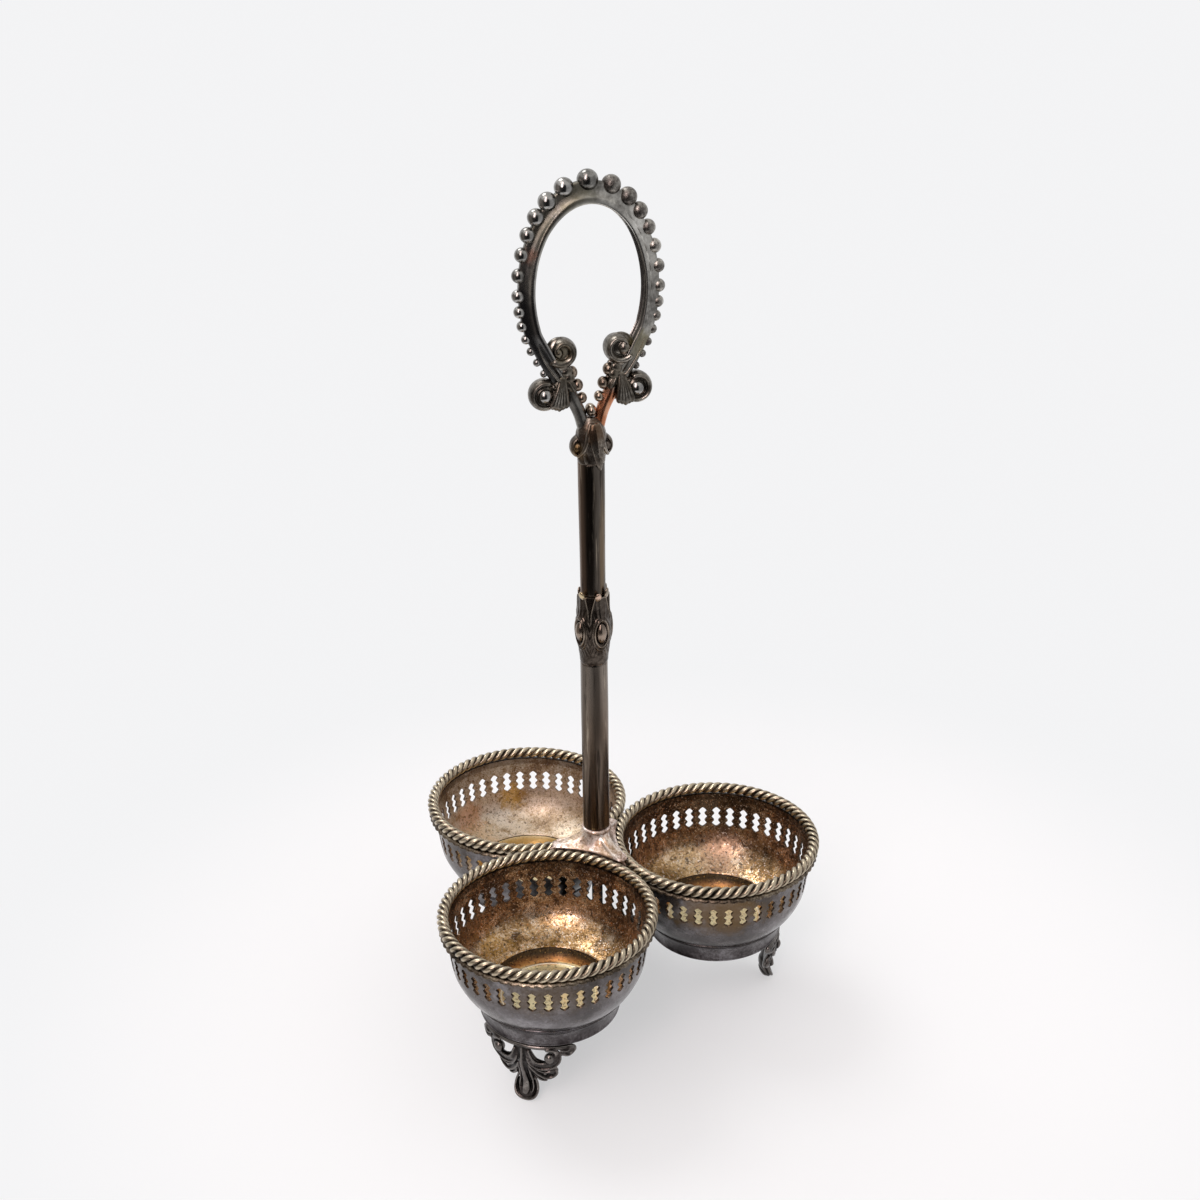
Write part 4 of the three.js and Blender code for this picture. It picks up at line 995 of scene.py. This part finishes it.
def eyes_shape():
    """The ring's top ball and the polished eyes of the outer volutes."""
    shape = Shape().ball((0, 0, RING_MIDDLE + RING_OUTER[1]), 3.4, 40, 24)
    for side in (-1, 1):
        shape.ball((side * OUTER_VOLUTE[0], 0, OUTER_VOLUTE[1]), (3.0, 3.7, 3.0), 36, 22)
    return shape


def scrolls_shape():
    """Volutes, leaves and shells where the arms meet the ring."""
    shape = Shape()
    (inner_x, inner_z), (outer_x, outer_z) = INNER_VOLUTE, OUTER_VOLUTE
    for side in (-1, 1):
        turns, thick, eye = (0.95, 1.7, 2.5) if side > 0 else (1.1, 2.1, 1.9)
        volute(shape, (side * inner_x, inner_z), 90 - side * 120, -side, turns, thick, eye)
        ring = spiral((side * outer_x, outer_z), 90 + side * 30, -side, 1.0, 4.3, 3.9)
        shape.tube(ring, spread([1.2, 0.9], len(ring)), sides=64, flat=2.6)
        shape.ball((side * outer_x, 0, outer_z), (3.7, 2.7, 3.7), 72, 48)
        for y in (-1, 1):
            # Fan leaf between the volutes, with five ribs over a thin web
            for lean in (-1, -0.5, 0, 0.5, 1):
                rib = [(9.6 + 0.5 * lean, 2.3, 243.4), (10.4 + 1.3 * lean, 3.1, 238.6),
                       (11.0 + 2.1 * lean, 3.0, 234.6),
                       (11.2 + 2.3 * lean, 2.4 - 0.3 * abs(lean), 231.9 + 0.9 * abs(lean))]
                shape.bar(mirrored(rib, side, y), 36, [0.6, 0.95, 1.1, 0.75], [0, 0.5, 0.85, 1])
            # Lapped scales above the fan, and a small pointed leaf on the inner side
            for centre, size, turn in (
                    ((8.3, 2.35, 244.9), (2.0, 0.9, 1.5), 25), ((9.3, 2.35, 247.0), (2.1, 0.9, 1.3), 35),
                    ((7.4, 2.35, 242.7), (1.7, 0.9, 1.6), 15), ((6.9, 2.2, 239.9), (1.5, 0.8, 2.4), 35)):
                shape.ball(mirrored(centre, side, y), size, 40, 28, turn=tilt(y=side * turn))
            vein = [(7.9, 3.0, 241.6), (6.9, 3.15, 239.9), (5.8, 2.9, 238.1)]
            shape.bar(mirrored(vein, side, y), 20, 0.4, sides=8)
            # Acanthus edge that runs up the arm to the ring
            edge = [(9.6, 2.7, 240.6), (12.0, 2.75, 243.4), (14.4, 2.7, 247.0), (16.4, 2.6, 250.6),
                    (17.9, 2.5, 254.6)]
            shape.bar(mirrored(edge, side, y), 40, [0.6, 0.45, 0.15], [0, 0.4, 1], sides=10)
        shape.ball((side * 11.0, 0, 237.2), (2.7, 2.6, 5.4), 64, 48, turn=tilt(y=-side * 10))
        shape.ball((side * 9.6, 0, 245.0), (2.5, 2.7, 3.2), 64, 40, turn=tilt(y=side * 30))
    return shape


# The object
def two_metals(name, metals, place, outside, inside, slot, node, **look):
    """A piece whose outer skin and lining have their own materials."""
    outer, lining = metals
    shape = Shape().join(outer).join(lining).moved(at_bowl(place))
    line(make(name, shape, outside, slot, node, **look), inside, len(outer.faces))


turn = rotated(SLOT_PHASE)
bowl = [part.moved(turn) for part in bowl_metal()]
cup = cup_metal()
rope = rope_border()
foot = foot_shape()
for place in BOWLS:
    lining, well = (INNER_LEFT, WELL_LEFT_PAINTED_LIGHT) if place == "left" else (INNER, WELL_PAINTED_SHADOW)
    put = at_bowl(place)
    two_metals(f"bowl_sheet_{place}", bowl, place, OUTER, lining, "bowl_plate", f"bowl_{place}",
               smooth_angle=42)
    make(f"rope_twist_{place}", rope.moved(put), ROPE, "rope_plate", f"rope_border_{place}")
    two_metals(f"cup_turned_{place}", cup, place, CUP, well, "cup_plate", f"base_cup_{place}")
    make(f"foot_cast_{place}", foot.moved(put), CASTING, "dark_casting", f"scroll_foot_{place}", voxel=0.22)
make("hub_flare", hub_shape(), PALE, "pale_plate", "hub")
make("stem_bead_ring", bead_shape(), PALE, "pale_plate", "stem_bead")
make("lower_tube_plate", tube_shape(LOWER_TUBE, LOWER_TUBE_RADII), TUBE, "stem_plate", "lower_tube")
make("knop_cast", knop_shape(), KNOP_METAL, "stem_plate", "knop", smooth_angle=60, curved=True)
make("upper_tube_plate", tube_shape(UPPER_TUBE, UPPER_TUBE_RADII), TUBE_HIGH, "stem_plate", "upper_tube")
in_plane = rotated(HANDLE_ANGLE)
make("collar_cast", collar_shape().moved(in_plane), COLLAR_METAL, "handle_plate", "handle_collar", voxel=0.16)
for name, shape, finish, voxel in (
        ("ring_band", band_shape(), HANDLE, 0), ("ring_balls_left", balls_shape(-1), BALL, 0),
        ("ring_balls_right", balls_shape(1), BALL_WORN, 0), ("ring_beads", beads_shape(), BEAD_BROWN, 0),
        ("ring_eyes", eyes_shape(), BALL, 0), ("scrolls_cast", scrolls_shape(), SCROLL, 0.16)):
    make(name, shape.moved(in_plane), finish, "handle_plate", "ring_handle", voxel=voxel)
for node in ("brace", "tie_rod", "washer", "nut"):
    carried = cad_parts[node]
    carried.data.materials.clear()
    carried.data.materials.append(FIXING)

# Floor, light and camera
scene = bpy.context.scene
PALE_ROOM = (0.90, 0.90, 0.91, 1)
# The floor in metres: its middle, its radius, and where it starts and ends to fade
FLOOR_MIDDLE = (0.03, 0.02, 0.0)
FLOOR_RADIUS = 0.30
FLOOR_FADE = (0.12, 0.285)
# Where the light comes from: the lamp, and the small window of the room
LAMP_DIRECTION = (-0.5, 0.22, 0.84)
WINDOW_DIRECTION = (-0.27, -0.36, 0.89)


def floor():
    """A round pale board under the object. Camera rays see it fade into the pale room round it."""
    mesh = bpy.data.meshes.new("floor")
    points = polar(FLOOR_RADIUS, around(96), 0.0) + FLOOR_MIDDLE
    mesh.from_pydata(points.tolist(), [], [tuple(range(len(points)))])
    obj = bpy.data.objects.new("floor", mesh)
    scene.collection.objects.link(obj)
    material = bpy.data.materials.new("floor_white")
    n = Nodes(material)
    coords = n.add("ShaderNodeTexCoord", out=3)
    colour = n.mix(n.noise(coords, 3.0, 2.0), (0.86, 0.86, 0.87, 1), (0.88, 0.88, 0.885, 1))
    shader = n.add("ShaderNodeBsdfPrincipled", ("Base Color", colour), ("Roughness", 0.6))
    glow = n.add("ShaderNodeEmission", ("Color", PALE_ROOM), ("Strength", 1.0))
    far = n.span(n.vector("DISTANCE", coords, FLOOR_MIDDLE, out=1), *FLOOR_FADE, 0.5, 1.0)
    share = n.product(far, n.math("MAXIMUM", *n.ray_kinds()))
    blend = n.add("ShaderNodeMixShader", (0, share), (1, shader), (2, glow))
    n.add("ShaderNodeOutputMaterial", ("Surface", blend))
    mesh.materials.append(material)


def studio():
    """A pale room to camera rays. To the metal it has a dark side at the front and bright walls round it."""
    world = bpy.data.worlds.new("studio")
    scene.world = world
    n = Nodes(world)
    direction = n.add("ShaderNodeTexCoord", out=0)
    x, y, z = n.add("ShaderNodeSeparateXYZ", (0, direction)).node.outputs
    turn = n.math("ADD", n.product(n.math("ARCTAN2", y, x), 1 / (2 * math.pi)), 0.5)
    # Walls round the object, by direction: -x at both ends, the front at 0.25
    walls = n.ramp(
        turn, (0.0, (0.5, 0.5, 0.51, 1)), (0.04, (0.33, 0.30, 0.28, 1)), (0.15, (0.29, 0.26, 0.24, 1)),
        (0.20, (0.07, 0.068, 0.065, 1)), (0.285, (0.02, 0.02, 0.022, 1)), (0.385, (0.02, 0.02, 0.022, 1)),
        (0.415, (0.66, 0.66, 0.67, 1)), (0.60, (0.62, 0.62, 0.64, 1)), (0.64, (0.86, 0.86, 0.87, 1)),
        (0.95, (0.88, 0.88, 0.89, 1)))
    # Height above which the bright ceiling starts
    edge = n.ramp(turn, (0.0, 0.45), (0.24, 0.45), (0.285, 0.62), (0.385, 0.62), (0.43, 0.5))
    above = n.math("SUBTRACT", z, edge)
    colour = n.mix(n.span(above, -0.1, 0.14), walls, (0.90, 0.89, 0.88, 1))
    # A tall warm window behind the camera and a small bright one at the upper left
    window = n.product(n.span(turn, 0.215, 0.24), n.span(turn, 0.297, 0.272), n.span(z, 0.10, 0.40),
                       n.span(z, 0.965, 0.90))
    colour = n.mix(window, colour, (7.2, 6.1, 6.0, 1))
    near = n.vector("DOT_PRODUCT", direction, tuple(unit(WINDOW_DIRECTION)), out=1)
    colour = n.mix(n.span(near, 0.960, 0.990), colour, (2.4, 2.25, 2.2, 1))
    room = n.add("ShaderNodeBackground", ("Color", colour), ("Strength", 0.89))
    white = n.add("ShaderNodeBackground", ("Color", PALE_ROOM), ("Strength", 1.0))
    # Reflections see the same pale backdrop on the side away from the front, below the ceiling
    camera_ray, reflected = n.ray_kinds()
    backdrop = n.product(reflected, n.span(turn, 0.60, 0.64), n.span(turn, 1.0, 0.95),
                         n.span(above, 0.14, -0.1))
    blend = n.add("ShaderNodeMixShader", (0, n.math("MAXIMUM", camera_ray, backdrop)), (1, room), (2, white))
    n.add("ShaderNodeOutputWorld", ("Surface", blend))
    key = bpy.data.lights.new("key", "SUN")
    key.energy, key.angle = 0.85, math.radians(26)
    lamp = bpy.data.objects.new("key", key)
    scene.collection.objects.link(lamp)
    lamp.rotation_mode = "QUATERNION"
    lamp.rotation_quaternion = Vector(LAMP_DIRECTION).to_track_quat("Z", "Y")


# The photograph's camera, as solved: pixels, radians, and distances in rope radii
IMAGE = 1200
FOCAL_LENGTH = 1687.793
IMAGE_MIDDLE = (605.27, 599.15)
AZIMUTH, ELEVATION, ROLL = 0.3931, 0.4239, -0.0108
DISTANCE, ASIDE, RAISED = 16.034, 0.114, 4.5281


def camera():
    back = polar(math.cos(ELEVATION), AZIMUTH - math.pi / 2, math.sin(ELEVATION))
    right = polar(1.0, AZIMUTH, 0.0)
    up = np.cross(back, right)
    place = (right * ASIDE + [0, 0, RAISED] + back * DISTANCE) * ROPE_RADIUS * MM + STEM
    rolled_right = math.cos(ROLL) * right + math.sin(ROLL) * up
    rolled_up = -math.sin(ROLL) * right + math.cos(ROLL) * up
    data = bpy.data.cameras.new("camera")
    data.sensor_width = 36
    data.lens = FOCAL_LENGTH / IMAGE * data.sensor_width
    data.shift_x = (IMAGE / 2 - IMAGE_MIDDLE[0]) / IMAGE
    data.shift_y = (IMAGE_MIDDLE[1] - IMAGE / 2) / IMAGE
    data.clip_start, data.clip_end = 0.01, 100
    obj = bpy.data.objects.new("camera", data)
    scene.collection.objects.link(obj)
    columns = [[*axis, 0.0] for axis in (rolled_right, rolled_up, back)] + [[*place, 1.0]]
    obj.matrix_world = Matrix(columns).transposed()
    scene.camera = obj


floor()
studio()
camera()
scene.view_settings.view_transform = "Standard"

bpy.context.view_layer.update()
